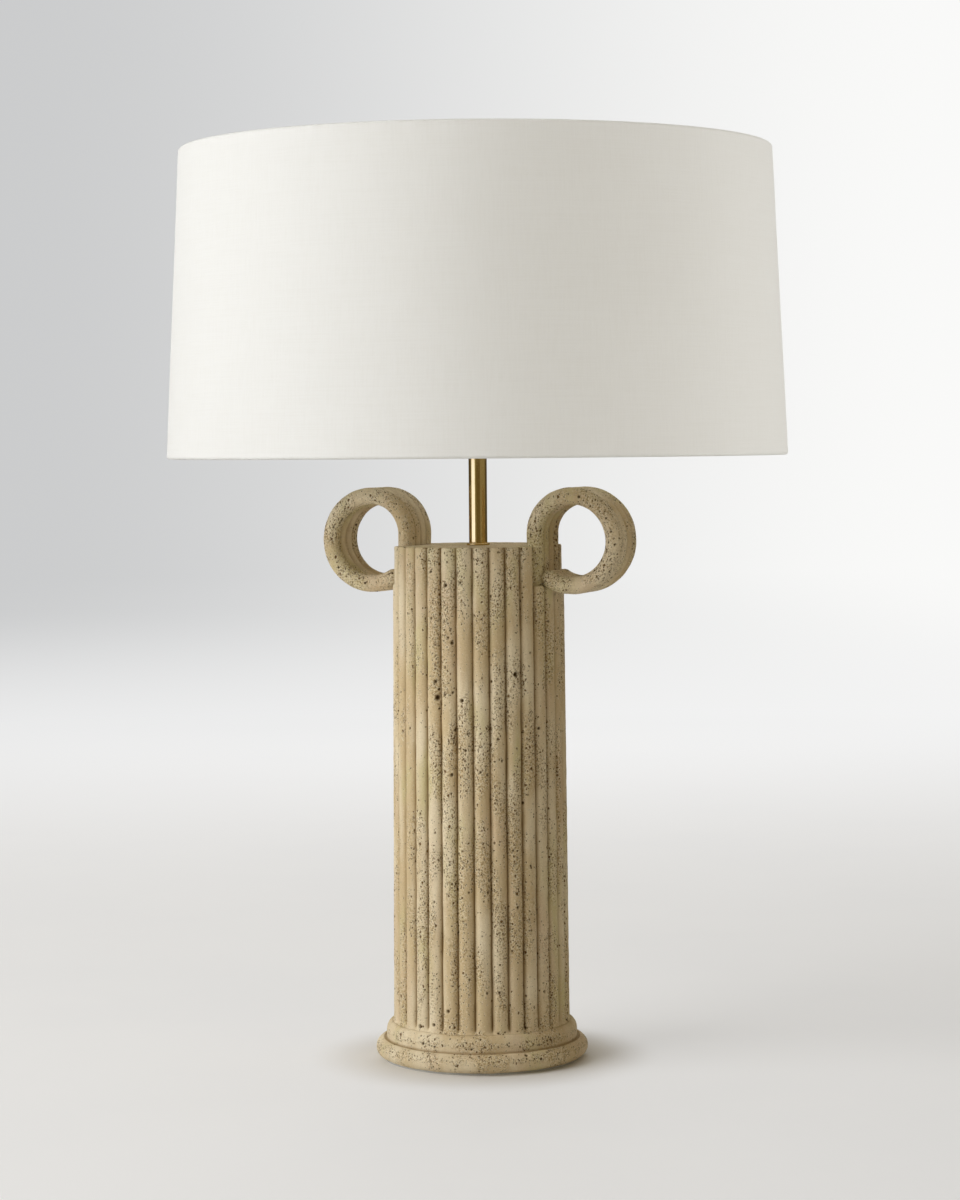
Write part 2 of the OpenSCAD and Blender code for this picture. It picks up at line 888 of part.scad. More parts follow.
module spider_hub() {
    color(zinc)
        ring(hub_z, hub_t, stud_d / 2 + stud_gap, hub_r);
}

// The arms are coped to the hub's rim and run up to the wire ring
module spider_arms() {
    color(zinc)
        difference() {
            for (i = [0:arm_count - 1])
                spider_arm(i, 0);
            translate([0, 0, hub_z - cut_over])
                cylinder(h = hub_t + 2 * cut_over, r = hub_r);
        }
}

module finial() {
    color(brass)
        difference() {
            translate([0, 0, finial_z])
                rotate_extrude()
                    intersection() {
                        union() {
                            square([finial_foot_r, finial_foot_h]);
                            square([finial_neck_r, finial_ball_z]);
                            translate([0, finial_ball_z])
                                circle(r = finial_ball_r);
                        }
                        square([finial_foot_r + finial_ball_r, finial_ball_z + finial_ball_r]);
                    }
            translate([0, 0, finial_z - over])
                cylinder(h = stud_l - hub_t + over + stud_gap, r = stud_d / 2 + stud_gap);
        }
}

// Bulb

// Outline of the globe and its neck, set in by t, down to the height low
module globe_outline(t, low) {
    neck_r = bulb_cap_r - bulb_cap_wall - ring_gap;
    shoulder_z = globe_z - globe_r / 2;
    intersection() {
        union() {
            translate([0, globe_z])
                circle(r = globe_r - t);
            polygon([[0, low], [neck_r - t, low], [neck_r - t, bulb_cone_h + bulb_cap_h],
                     [(globe_r - t) * cos(30), shoulder_z], [0, shoulder_z]]);
        }
        square([globe_r, globe_z + globe_r]);
    }
}

module bulb_globe() {
    neck_z = bulb_cone_h + bulb_cap_h / 2;
    color(opal_glass)
        translate([0, 0, bulb_z + bulb_contact_t])
            rotate_extrude()
                difference() {
                    globe_outline(0, neck_z);
                    globe_outline(glass_t, neck_z - over);
                }
}

module bulb_screw_cap() {
    color(zinc)
        ring(bulb_z + bulb_contact_t + bulb_cone_h, bulb_cap_h, bulb_cap_r - bulb_cap_wall, bulb_cap_r);
}

module bulb_insulator() {
    color(black)
        translate([0, 0, bulb_z + bulb_contact_t]) {
            cylinder(h = bulb_cone_h, r1 = bulb_contact_r + bulb_glass_rim, r2 = bulb_cap_r - bulb_cap_wall);
            translate([0, 0, bulb_cone_h])
                cylinder(h = bulb_cone_h, r = bulb_cap_r - bulb_cap_wall);
        }
}

module bulb_contact() {
    color(zinc)
        translate([0, 0, bulb_z])
            cylinder(h = bulb_contact_t, r = bulb_contact_r);
}

felt_pad();
plinth();
cord_bushing();
ballast_plate();
lock_washer();
foot_nut();
threaded_pipe();
column();
right_handle();
left_handle();
check_ring();
stem_tube();
stem_cap();
harp_saddle();
saddle_nut();
socket_cap();
cap_set_screw();
socket_shell();
shell_insulator();
socket_body();
screw_shell();
centre_contact();
live_terminal_screw();
neutral_terminal_screw();
knob_shaft();
turn_knob();
harp_wire();
harp_top_plate();
harp_stud();
right_ferrule();
left_ferrule();
shade_cover();
shade_liner();
top_wire_ring();
bottom_wire_ring();
top_rolled_edge();
bottom_rolled_edge();
spider_hub();
spider_arms();
finial();
bulb_globe();
bulb_screw_cap();
bulb_insulator();
bulb_contact();
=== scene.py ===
"""Dresses the table lamp: cast stone column and handles, brass stem and harp, fabric drum shade.

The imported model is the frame. Every piece is built in metres in that frame and rides on the body
that carries it. Sizes of this file are in millimetres until a mesh is made.
"""
import logging
import math
from dataclasses import dataclass, field
from enum import Enum
from typing import Optional, Sequence, Union

import bmesh
import bpy
import numpy as np
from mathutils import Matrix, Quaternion, Vector, noise
from mathutils.kdtree import KDTree


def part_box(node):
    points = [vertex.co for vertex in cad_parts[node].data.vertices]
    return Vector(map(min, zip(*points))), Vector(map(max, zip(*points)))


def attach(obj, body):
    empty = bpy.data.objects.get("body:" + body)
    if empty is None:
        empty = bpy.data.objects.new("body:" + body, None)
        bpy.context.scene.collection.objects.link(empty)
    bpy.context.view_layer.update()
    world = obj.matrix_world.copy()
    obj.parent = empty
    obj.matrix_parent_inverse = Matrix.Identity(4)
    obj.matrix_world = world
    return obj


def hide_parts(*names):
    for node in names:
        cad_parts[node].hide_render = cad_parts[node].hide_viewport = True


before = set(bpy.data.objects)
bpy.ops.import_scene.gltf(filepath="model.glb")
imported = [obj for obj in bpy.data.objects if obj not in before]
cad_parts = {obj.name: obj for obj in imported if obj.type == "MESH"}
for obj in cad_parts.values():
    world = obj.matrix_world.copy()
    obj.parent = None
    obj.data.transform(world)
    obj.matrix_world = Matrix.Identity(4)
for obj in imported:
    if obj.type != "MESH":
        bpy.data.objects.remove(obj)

LOG = logging.getLogger("table_lamp")
MM = 0.001
CORNER_STEPS = 4
# A direction along which no tube starts, from which its first ring is turned.
ASIDE = (0.3, 1.0, 0.2)

Point2 = tuple[float, float]
Point3 = tuple[float, float, float]
Colour = tuple[float, float, float, float]
Array = np.ndarray
Piece = bpy.types.Object
Mesh = bpy.types.Mesh
Material = bpy.types.Material
Node = bpy.types.Node
Socket = bpy.types.NodeSocket
Fed = Union[Socket, float, int, tuple, list]


class Body(str, Enum):
    """The moving bodies of the lamp."""

    LAMP = "lamp_body"
    SHADE = "shade"
    FINIAL = "finial"
    BULB = "bulb"
    KNOB = "knob"
    RIGHT_FERRULE = "right_ferrule"
    LEFT_FERRULE = "left_ferrule"


class Slot(str, Enum):
    """The record's material slots."""

    STONE = "stone"
    BRASS = "brass"
    STEEL = "steel"
    ZINC = "zinc"
    FELT = "felt"
    BLACK_PLASTIC = "black_plastic"
    PAPER = "insulating_paper"
    LINEN = "shade_linen"
    STYRENE = "shade_styrene"
    OPAL_GLASS = "opal_glass"


class Lay(str, Enum):
    """Which way the fine lines of a turned or drawn metal run."""

    AROUND = "around"
    ALONG = "along"


class Join(str, Enum):
    """How a tool solid changes a piece."""

    UNION = "UNION"
    DIFFERENCE = "DIFFERENCE"


Coat = tuple[Material, Slot]


def corners_mm(node: str) -> tuple[Vector, Vector]:
    """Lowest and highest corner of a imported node."""
    low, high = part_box(node)
    return low / MM, high / MM


# Meshes


class MeshMaker:
    """Turns lists of points in millimetres into pieces."""

    SMOOTH_ANGLE = 38.0
    POLE_R = 1e-6

    @classmethod
    def piece(cls, name: str, points: Sequence, faces: Sequence, sharp: float = SMOOTH_ANGLE) -> Piece:
        """Makes one mesh object, shaded smooth except at its sharp edges.

        Args:
            name: Name of the piece.
            points: Points in millimetres.
            faces: Faces as lists of point numbers.
            sharp: Edges that bend by more degrees than this stay sharp.

        Returns:
            The object, linked to the scene.
        """
        mesh = bpy.data.meshes.new(name)
        mesh.from_pydata((np.asarray(points, float) * MM).tolist(), [], [list(f) for f in faces])
        mesh.validate()
        obj = bpy.data.objects.new(name, mesh)
        bpy.context.scene.collection.objects.link(obj)
        cls.shade(obj, sharp)
        return obj

    @staticmethod
    def shade(obj: Piece, sharp: float = SMOOTH_ANGLE) -> None:
        """Shades a piece smooth, with edges that bend by more than sharp degrees left sharp."""
        obj.data.shade_smooth()
        obj.data.set_sharp_from_angle(angle=math.radians(sharp))

    @classmethod
    def lathe(cls, name: str, outline: Sequence[Point2], steps: int = 96, closed: bool = False) -> Piece:
        """Turns an outline of (radius, height) points about the lamp's axis.

        Args:
            name: Name of the piece.
            outline: Points in millimetres. An end with no radius becomes a pole.
            steps: Number of steps around.
            closed: True if the outline's last point joins its first.

        Returns:
            The piece.
        """
        points: list[Point3] = []
        rings: list[list[int]] = []
        for radius, height in outline:
            start = len(points)
            if radius < cls.POLE_R:
                points.append((0.0, 0.0, height))
                rings.append([start] * steps)
                continue
            for i in range(steps):
                a = 2 * math.pi * i / steps
                points.append((radius * math.cos(a), radius * math.sin(a), height))
            rings.append(list(range(start, start + steps)))
        pairs = list(zip(rings, rings[1:]))
        if closed:
            pairs.append((rings[-1], rings[0]))
        faces = []
        for low, high in pairs:
            for i in range(steps):
                k = (i + 1) % steps
                corners = [low[i], low[k], high[k], high[i]]
                kept = [c for n, c in enumerate(corners) if c != corners[n - 1]]
                if len(kept) > 2:
                    faces.append(kept)
        return cls.piece(name, points, faces)

    @classmethod
    def sweep(cls, name: str, rings: Sequence[Array], mirror: bool = False,
              sharp: float = SMOOTH_ANGLE) -> Piece:
        """Joins rings of points into a tube with flat ends.

        Args:
            name: Name of the piece.
            rings: Arrays of the same number of points, one after the other along the tube.
            mirror: True to mirror the tube across the YZ plane.
            sharp: Edges that bend by more degrees than this stay sharp.

        Returns:
            The piece.
        """
        count = len(rings[0])
        points = np.vstack(rings)
        faces = ring_faces(len(rings), count)
        faces.append(list(range(count - 1, -1, -1)))
        faces.append([(len(rings) - 1) * count + i for i in range(count)])
        if mirror:
            points = points * np.array([-1.0, 1.0, 1.0])
            faces = [f[::-1] for f in faces]
        return cls.piece(name, points, faces, sharp)


def ring_faces(rows: int, count: int, closed: bool = False) -> list[list[int]]:
    """Faces between rings of points.

    Args:
        rows: Number of rings.
        count: Points in a ring.
        closed: True if the last ring joins the first.

    Returns:
        Faces as lists of point numbers.
    """
    faces = []
    for r in range(rows if closed else rows - 1):
        s = (r + 1) % rows
        for i in range(count):
            k = (i + 1) % count
            faces.append([r * count + i, r * count + k, s * count + k, s * count + i])
    return faces


def arc(x: float, y: float, r: float, start: float, end: float, steps: int) -> list[Point2]:
    """Points along an arc."""
    angles = np.radians(np.linspace(start, end, steps + 1))
    return [(x + r * math.cos(a), y + r * math.sin(a)) for a in angles]


def ring_outline(inner: float, outer: float, low: float, high: float, edge: float) -> list[Point2]:
    """Closed outline of a ring's section, with its four corners rounded.

    Args:
        inner: Inside radius.
        outer: Outside radius.
        low: Lower height.
        high: Upper height.
        edge: Radius of the corners.

    Returns:
        Points of (radius, height).
    """
    corners = ((inner + edge, low + edge, 180), (outer - edge, low + edge, 270),
               (outer - edge, high - edge, 0), (inner + edge, high - edge, 90))
    return [p for x, z, start in corners for p in arc(x, z, edge, start, start + 90, CORNER_STEPS)]


def tube_rings(path: Sequence[Sequence[float]], radius: float, sides: int) -> list[Array]:
    """Rings of a round tube along a path in space.

    Args:
        path: Points in millimetres.
        radius: Radius of the tube.
        sides: Number of sides.

    Returns:
        One ring for each point of the path.
    """
    line = np.asarray(path, float)
    heading = np.gradient(line, axis=0)
    heading /= np.linalg.norm(heading, axis=1)[:, None]
    side = np.cross(heading[0], ASIDE)
    turn = 2 * math.pi * np.arange(sides) / sides
    rings = []
    for point, ahead in zip(line, heading):
        side = side - ahead * float(side @ ahead)
        side /= np.linalg.norm(side)
        other = np.cross(ahead, side)
        rings.append(point + radius * (np.outer(np.cos(turn), side) + np.outer(np.sin(turn), other)))
    return rings


@dataclass(frozen=True)
class Bumps:
    """Smooth random bumps of a height and a size in millimetres. seed moves the pattern."""

    height: float
    size: float
    seed: float

    def at(self, points: Array) -> Array:
        """Measures the bumps."""
        moved = points / self.size + np.array([self.seed, -self.seed, 0.0])
        return self.height * np.array([noise.noise(Vector(p)) for p in moved])


def points_of(mesh: Mesh) -> Array:
    """A mesh's points in millimetres."""
    flat = np.zeros(len(mesh.vertices) * 3)
    mesh.vertices.foreach_get("co", flat)
    return flat.reshape(-1, 3) / MM


def normals_of(mesh: Mesh) -> Array:
    """A mesh's outward directions, one for each point."""
    flat = np.zeros(len(mesh.vertices) * 3, np.float32)
    mesh.vertex_normals.foreach_get("vector", flat)
    return flat.reshape(-1, 3).astype(float)


def set_points(mesh: Mesh, points: Array) -> None:
    """Moves a mesh's points to places in millimetres."""
    mesh.vertices.foreach_set("co", (points * MM).astype(np.float32).ravel())
    mesh.update()


def set_values(mesh: Mesh, name: str, values: Array) -> None:
    """Stores one number for each point of a mesh, for a material to read."""
    attribute = mesh.attributes.get(name) or mesh.attributes.new(name, "FLOAT", "POINT")
    attribute.data.foreach_set("value", values.astype(np.float32))


def roughen(mesh: Mesh, bumps: Sequence[Bumps], above: float = -math.inf) -> None:
    """Moves a mesh's points in and out along its outward directions.

    Args:
        mesh: The mesh.
        bumps: Bumps that add up.
        above: Points lower than this stay where they are.
    """
    points, normals = points_of(mesh), normals_of(mesh)
    swell = sum(some.at(points) for some in bumps) * (points[:, 2] >= above)
    set_points(mesh, points + normals * swell[:, None])


def combine(target: Piece, tool: Piece, how: Join) -> None:
    """Joins a tool solid to a piece, or cuts it away, and removes the tool.

    Args:
        target: The piece that is changed.
        tool: The other solid.
        how: Which of both.
    """
    modifier = target.modifiers.new("shape", "BOOLEAN")
    modifier.object = tool
    modifier.operation = how.value
    modifier.solver = "EXACT"
    graph = bpy.context.evaluated_depsgraph_get()
    made = bpy.data.meshes.new_from_object(target.evaluated_get(graph))
    target.modifiers.clear()
    target.data = made
    bpy.data.objects.remove(tool)


def prism(name: str, outline: Sequence[Point2], low: float, high: float, upright: bool) -> Piece:
    """A straight solid with a drawn outline, used to cut.

    Args:
        name: Name of the solid.
        outline: Points in XY if upright, and otherwise in XZ, anticlockwise as (x, z).
        low: Where it starts, along Z if upright and otherwise along Y.
        high: Where it ends.
        upright: True if it is extruded along Z.

    Returns:
        The solid.
    """
    flat = np.asarray(outline, float)
    rings = []
    for level in (low, high):
        column = np.full(len(flat), level)
        if upright:
            rings.append(np.column_stack([flat[:, 0], flat[:, 1], column]))
        else:
            rings.append(np.column_stack([flat[:, 0], -column, flat[:, 1]]))
    return MeshMaker.sweep(name, rings)


# Finishes


class Ease(str, Enum):
    """How a range of values is mapped onto another one."""

    SMOOTH = "SMOOTHSTEP"
    LINEAR = "LINEAR"


@dataclass(frozen=True)
class Ramp:
    """A range of values, from low to high, that becomes the range from to_low to to_high."""

    low: Fed
    high: Fed
    to_low: Fed = 0.0
    to_high: Fed = 1.0
    ease: Ease = Ease.SMOOTH


@dataclass(frozen=True)
class Clouds:
    """Soft random values around a half. scale is in bumps per metre, for all axes or for each."""

    scale: Union[float, Point3]
    detail: float = 2
    shift: Point3 = (0, 0, 0)
    rough: float = 0.5


@dataclass(frozen=True)
class Relief:
    """How far a pattern stands out, in metres, and how strongly it bends the light."""

    depth: float
    strength: float = 1.0


class Nodes:
    """A node tree to which nodes are added one by one."""

    def __init__(self, tree: bpy.types.NodeTree) -> None:
        """Keeps the tree."""
        self.tree = tree

    def add(self, kind: str, inputs: Optional[dict] = None, **settings: object) -> Node:
        """Adds a node.

        Args:
            kind: Blender's name of the node type.
            inputs: Values or sockets for its inputs, by name or number.
            **settings: Other values to set on the node.

        Returns:
            The node.
        """
        node = self.tree.nodes.new(kind)
        for key, value in settings.items():
            setattr(node, key, value)
        for key, value in (inputs or {}).items():
            self.feed(node.inputs[key], value)
        return node

    def feed(self, socket: Socket, value: Fed) -> None:
        """Links a socket to an input, or writes a constant there.

        Args:
            socket: The input.
            value: What it gets.
        """
        if isinstance(value, bpy.types.NodeSocket):
            self.tree.links.new(value, socket)
        else:
            socket.default_value = value

    def maths(self, how: str, a: Fed, b: Fed = 0.0, clamp: bool = False) -> Socket:
        """A sum on one or two numbers."""
        return self.add("ShaderNodeMath", {0: a, 1: b}, operation=how, use_clamp=clamp).outputs[0]

    def times(self, a: Fed, b: Fed) -> Socket:
        """The product of two numbers."""
        return self.maths("MULTIPLY", a, b)

    def span(self, value: Fed, ramp: Ramp) -> Socket:
        """Maps a range of values onto another one.

        Args:
            value: The number that is mapped.
            ramp: Both ranges.

        Returns:
            The mapped number.
        """
        inputs = {"Value": value, "From Min": ramp.low, "From Max": ramp.high,
                  "To Min": ramp.to_low, "To Max": ramp.to_high}
        return self.add("ShaderNodeMapRange", inputs, interpolation_type=ramp.ease.value).outputs["Result"]

    def mix(self, share: Fed, a: Fed, b: Fed) -> Socket:
        """Mixes two colours.

        Args:
            share: How much of the second one, from 0 to 1.
            a: The first colour.
            b: The second colour.

        Returns:
            The mixed colour.
        """
        node = self.add("ShaderNodeMix", data_type="RGBA", blend_type="MIX")
        for number, value in ((0, share), (6, a), (7, b)):
            self.feed(node.inputs[number], value)
        return node.outputs[2]

    def wash(self, base: Fed, value: Fed, ramp: Ramp, colour: Fed) -> Socket:
        """Lays a colour over another one, as much as a ramp makes of a value."""
        return self.mix(self.span(value, ramp), base, colour)

    def most(self, sockets: Sequence[Socket]) -> Socket:
        """The greatest of several numbers.

        Args:
            sockets: The numbers.

        Returns:
            The greatest one.
        """
        most = sockets[0]
        for socket in sockets[1:]:
            most = self.maths("MAXIMUM", most, socket)
        return most

    def vectors(self, how: str, inputs: dict, out: str = "Vector") -> Socket:
        """A sum on one or two vectors, out of which comes a vector or a value."""
        return self.add("ShaderNodeVectorMath", inputs, operation=how).outputs[out]

    def along(self, vector: Socket, axis: Point3) -> Socket:
        """How far a vector reaches along an axis."""
        return self.vectors("DOT_PRODUCT", {0: vector, 1: axis}, "Value")

    def seen_directly(self) -> Socket:
        """One for rays from the camera and for those that gloss or glass sends on, and otherwise zero."""
        path = self.add("ShaderNodeLightPath").outputs
        return self.most([path["Is Camera Ray"], path["Is Glossy Ray"], path["Is Transmission Ray"]])

    def blend(self, share: Socket, first: Node, second: Node) -> Node:
        """Mixes two shaders, of which share is the second one's part."""
        return self.add("ShaderNodeMixShader", {0: share, 1: first.outputs[0], 2: second.outputs[0]})

    def show(self, shader: Node, output: str = "Material Output") -> None:
        """Makes a shader the one that the tree shows."""
        self.tree.links.new(shader.outputs[0], self.tree.nodes[output].inputs["Surface"])


class Shader(Nodes):
    """A material and its principled shader."""

    def __init__(self, name: str) -> None:
        """Makes a new material.

        Args:
            name: Name of the material.
        """
        self.material = bpy.data.materials.new(name)
        self.material.use_nodes = True
        super().__init__(self.material.node_tree)
        self.surface = self.tree.nodes["Principled BSDF"]

    def set(self, **values: Fed) -> None:
        """Sets inputs of the shader. An underscore in a name stands for a space."""
        for key, value in values.items():
            self.feed(self.surface.inputs[key.replace("_", " ")], value)

    def place(self, scale: Point3 = (1, 1, 1), shift: Point3 = (0, 0, 0)) -> Socket:
        """Coordinates on the piece in metres, stretched and shifted."""
        source = self.add("ShaderNodeTexCoord").outputs["Object"]
        return self.add("ShaderNodeMapping", {"Vector": source, "Scale": scale, "Location": shift}).outputs[0]

    def noise(self, clouds: Clouds) -> Node:
        """A pattern of soft bumps.

        Args:
            clouds: Its size and detail.

        Returns:
            The node, with a value and a colour.
        """
        each = isinstance(clouds.scale, tuple)
        inputs = {"Vector": self.place(clouds.scale, clouds.shift) if each else self.place(),
                  "Scale": 1 if each else clouds.scale, "Detail": clouds.detail, "Roughness": clouds.rough}
        return self.add("ShaderNodeTexNoise", inputs)

    def clouds(self, clouds: Clouds) -> Socket:
        """Soft random values around a half."""
        return self.noise(clouds).outputs["Fac"]

    def cells(self, scale: float, vector: Socket) -> Node:
        """A pattern of random cells, scale of them per metre."""
        return self.add("ShaderNodeTexVoronoi", {"Vector": vector, "Scale": scale, "Randomness": 1.0})

    def value(self, name: str) -> Socket:
        """A number stored on the mesh's points."""
        return self.add("ShaderNodeAttribute", attribute_name=name).outputs["Fac"]

    def bump(self, *layers: tuple[Fed, Relief]) -> Socket:
        """Bends the light as if the surface were raised, layer on layer.

        Args:
            *layers: For each layer its height from 0 to 1, and its relief.

        Returns:
            The bent direction.
        """
        inputs: dict = {}
        for height, relief in layers:
            inputs.update({"Height": height, "Distance": relief.depth, "Strength": relief.strength})
            inputs["Normal"] = self.add("ShaderNodeBump", inputs).outputs[0]
        return inputs["Normal"]

    def around(self, radius: float) -> tuple[Socket, Socket]:
        """Length around the lamp's axis, and height.

        Args:
            radius: The radius at which the length counts, in metres.

        Returns:
            Both in metres.
        """
        split = self.add("ShaderNodeSeparateXYZ", {0: self.place()})
        angle = self.maths("ARCTAN2", split.outputs[0], split.outputs[1])
        return self.times(angle, radius), split.outputs[2]


@dataclass(frozen=True)
class PitLayer:
    """Small pits of one size.

    scale is in cells per metre and the radii are in cells. sparse and crowded are the shares of
    cells that hold a pit, and dark is how dark the pits are.
    """

    scale: float
    small: float
    large: float
    sparse: float
    crowded: float
    dark: float


@dataclass(frozen=True)
class StoneFinish:
    """Cast travertine look: warm beige, with open pits that lie in clouds, darkened by painted shade and
    dirt.
    """

    cream: Colour = (0.820, 0.715, 0.515, 1)
    sand: Colour = (0.650, 0.515, 0.310, 1)
    moss: Colour = (0.650, 0.575, 0.315, 1)
    rose: Colour = (0.720, 0.560, 0.385, 1)
    # The pit and speck colours darken the carved holes and the small pits: painted shade and dirt.
    pit: Colour = (0.080, 0.045, 0.015, 1)
    speck: Colour = (0.140, 0.070, 0.014, 1)
    # Dirt colour for the grain and the dark crumbs, also used as painted shade in grooves and creases.
    dirt_and_groove_shade: Colour = (0.250, 0.155, 0.055, 1)
    # Pale colour for the crumbs, also used as the painted highlight round each pit.
    rim: Colour = (0.900, 0.820, 0.610, 1)
    # Long patches of the tints, laid over the first colour one by one.
    patches: tuple[tuple[Clouds, Ramp, Colour], ...] = (
        (Clouds((34, 34, 12), 4), Ramp(0.38, 0.62), sand),
        (Clouds((30, 30, 11), 3, (7.3, 2.9, 5.1)), Ramp(0.50, 0.66, 0.0, 0.85), moss),
        (Clouds((33, 33, 10), 3, (3.1, 9.7, 0.4)), Ramp(0.52, 0.68, 0.0, 0.50), rose),
        (Clouds((150, 150, 9), 4), Ramp(0.45, 0.68, 0.0, 0.40), sand),
    )
    layers: tuple[PitLayer, ...] = (
        PitLayer(640.0, 0.21, 0.38, 0.14, 1.00, 0.64),
        PitLayer(430.0, 0.20, 0.36, 0.04, 1.00, 0.92),
        PitLayer(255.0, 0.15, 0.30, -0.07, 0.44, 0.97),
    )
    grain: Clouds = Clouds(1500, 3)
    grain_dirt: Ramp = Ramp(0.35, 0.65, 0.0, 0.14)
    crumb: Clouds = Clouds(700, 2)
    # The pits are longer along the height, and their cells are bent by up to half of warp_size.
    squeeze: Point3 = (1, 1, 0.74)
    warp: Clouds = Clouds(420.0, 2.0)
    warp_size: float = 0.0020
    inner_share: float = 0.62
    pit_edge: float = 0.03
    rim_w: float = 0.17
    # The mesh's value says how crowded a place is, and these clouds break it up.
    gather: Clouds = Clouds((70, 70, 22), 3)
    gathered: Ramp = Ramp(0.40, 0.60, -0.24, 0.54)
    worn: Ramp = Ramp(0.12, 0.85, 0.05, 0.64)
    worn_skin: Ramp = Ramp(0.0, 0.8, 0.25, 1.0)
    pale_crumbs: Ramp = Ramp(0.53, 0.64)
    dark_crumbs: Ramp = Ramp(0.47, 0.36)
    # How much of its own colour each of these shows.
    rim_highlight_share: float = 0.52
    pale_share: float = 0.7
    groove_shade_share: float = 0.84
    speck_share: float = 0.96
    hole_share: float = 0.94
    swell: Clouds = Clouds(120, 3)
    swell_relief: Relief = Relief(0.0007, 0.55)
    crumb_relief: Relief = Relief(0.0009, 0.9)
    grain_relief: Relief = Relief(0.00018, 0.7)
    pit_relief: Relief = Relief(0.0008, 0.9)
    gloss: Clouds = Clouds(60, 3)
    roughness: Ramp = Ramp(0.3, 0.7, 0.74, 0.90, Ease.LINEAR)
    specular: float = 0.12

    def build(self, name: str) -> Material:
        """Makes the material.

        Args:
            name: Name of the material.

        Returns:
            The material.
        """
        s = Shader(name)
        grain = s.clouds(self.grain)
        crumb = s.clouds(self.crumb)
        base = self._tint(s, grain)
        local = s.span(s.clouds(self.gather), self.gathered)
        crowd = s.maths("ADD", s.value("pitting"), local, clamp=True)
        pits, rims = self._pits(s, self._spot(s), crowd)
        worn = s.span(crowd, self.worn)
        # Painted highlight: a pale ring round each pit.
        base = s.mix(s.times(rims, self.rim_highlight_share), base, self.rim)
        pale = s.times(s.span(crumb, self.pale_crumbs), s.times(worn, self.pale_share))
        base = s.mix(pale, base, self.rim)
        base = s.mix(s.times(s.span(crumb, self.dark_crumbs), worn), base, self.dirt_and_groove_shade)
        # Painted shade: the grooves, the creases between the handle's rods, the plinth's crease and the
        # column's joint are darkened.
        base = s.mix(s.times(s.value("groove"), self.groove_shade_share), base, self.dirt_and_groove_shade)
        # Painted shade and dirt: the small pits and the carved holes are darkened, most in their middles.
        base = s.mix(s.times(pits, self.speck_share), base, self.speck)
        base = s.mix(s.maths("MULTIPLY", s.value("hole"), self.hole_share, clamp=True), base, self.pit)
        skin = s.times(crumb, s.span(crowd, self.worn_skin))
        normal = s.bump((s.clouds(self.swell), self.swell_relief), (skin, self.crumb_relief),
                        (grain, self.grain_relief), (s.maths("SUBTRACT", 1.0, pits), self.pit_relief))
        rough = s.span(s.clouds(self.gloss), self.roughness)
        s.set(Base_Color=base, Roughness=rough, Normal=normal, Specular_IOR_Level=self.specular)
        return s.material

    def _tint(self, s: Shader, grain: Socket) -> Socket:
        """The stone's colour without its pits.

        Args:
            s: The material's shader.
            grain: The fine grain that lies over the patches.

        Returns:
            The colour.
        """
        base: Fed = self.cream
        for clouds, ramp, tint in self.patches:
            base = s.wash(base, s.clouds(clouds), ramp, tint)
        return s.wash(base, grain, self.grain_dirt, self.dirt_and_groove_shade)

    def _spot(self, s: Shader) -> Socket:
        """Bent coordinates for the cells of the pits.

        Args:
            s: The material's shader.

        Returns:
            The coordinates.
        """
        warp = s.noise(self.warp).outputs["Color"]
        bent = s.vectors("SUBTRACT", {0: warp, 1: (0.5, 0.5, 0.5)})
        moved = s.vectors("SCALE", {0: bent, "Scale": self.warp_size})
        return s.vectors("ADD", {0: s.place(scale=self.squeeze), 1: moved})

    def _pits(self, s: Shader, spot: Socket, crowd: Socket) -> tuple[Socket, Socket]:
        """Masks of the small pits, darkened as painted shade and dirt, and of their pale rims, a painted
        highlight.

        Args:
            s: The material's shader.
            spot: Coordinates for the cells.
            crowd: How crowded a place is. More cells hold a pit where it is high.

        Returns:
            Both masks.
        """
        masks: list[Socket] = []
        rims: list[Socket] = []
        for layer in self.layers:
            cell = s.cells(layer.scale, spot)
            far = cell.outputs["Distance"]
            draw = s.add("ShaderNodeSeparateColor", {0: cell.outputs["Color"]}).outputs
            share = s.span(crowd, Ramp(0.0, 1.0, layer.sparse, layer.crowded, Ease.LINEAR))
            there = s.maths("LESS_THAN", draw[0], share)
            size = s.span(draw[1], Ramp(0.0, 1.0, layer.small, layer.large, Ease.LINEAR))
            outer = s.maths("ADD", size, self.pit_edge)
            inside = Ramp(s.times(size, self.inner_share), outer, layer.dark, 0.0)
            # The ring just outside each pit holds the painted highlight.
            beside = Ramp(size, s.maths("ADD", size, self.rim_w), 1.0, 0.0)
            masks.append(s.times(there, s.span(far, inside)))
            rims.append(s.times(there, s.span(far, beside)))
        return s.most(masks), s.most(rims)


@dataclass(frozen=True)
class MetalFinish:
    """A turned or drawn metal with fine lines, a patina and slight wear."""

    colour: Colour
    shadow: Colour
    rough: float
    lay: Lay = Lay.AROUND
    lines: float = 0.000003
    patina: float = 0.5
    lines_around: Clouds = Clouds((40, 40, 5200), 3)
    lines_along: Clouds = Clouds((4200, 4200, 30), 3)
    cloud: Clouds = Clouds(95, 4)
    dulled: Point2 = (-0.10, 0.18)

    def build(self, name: str) -> Material:
        """Makes the material.

        Args:
            name: Name of the material.

        Returns:
            The material.
        """
        s = Shader(name)
        lines = s.clouds(self.lines_around if self.lay is Lay.AROUND else self.lines_along)
        cloud = s.clouds(self.cloud)
        base = s.wash(self.colour, cloud, Ramp(0.40, 0.68, 0.0, self.patina), self.shadow)
        base = s.wash(base, lines, Ramp(0.3, 0.7, 0.0, 0.18), self.shadow)
        least, most = (share * self.patina for share in self.dulled)
        dull = s.span(cloud, Ramp(0.3, 0.7, least, most, Ease.LINEAR))
        s.set(Base_Color=base, Metallic=1.0, Roughness=s.maths("ADD", dull, self.rough),
              Normal=s.bump((lines, Relief(self.lines))))
        return s.material


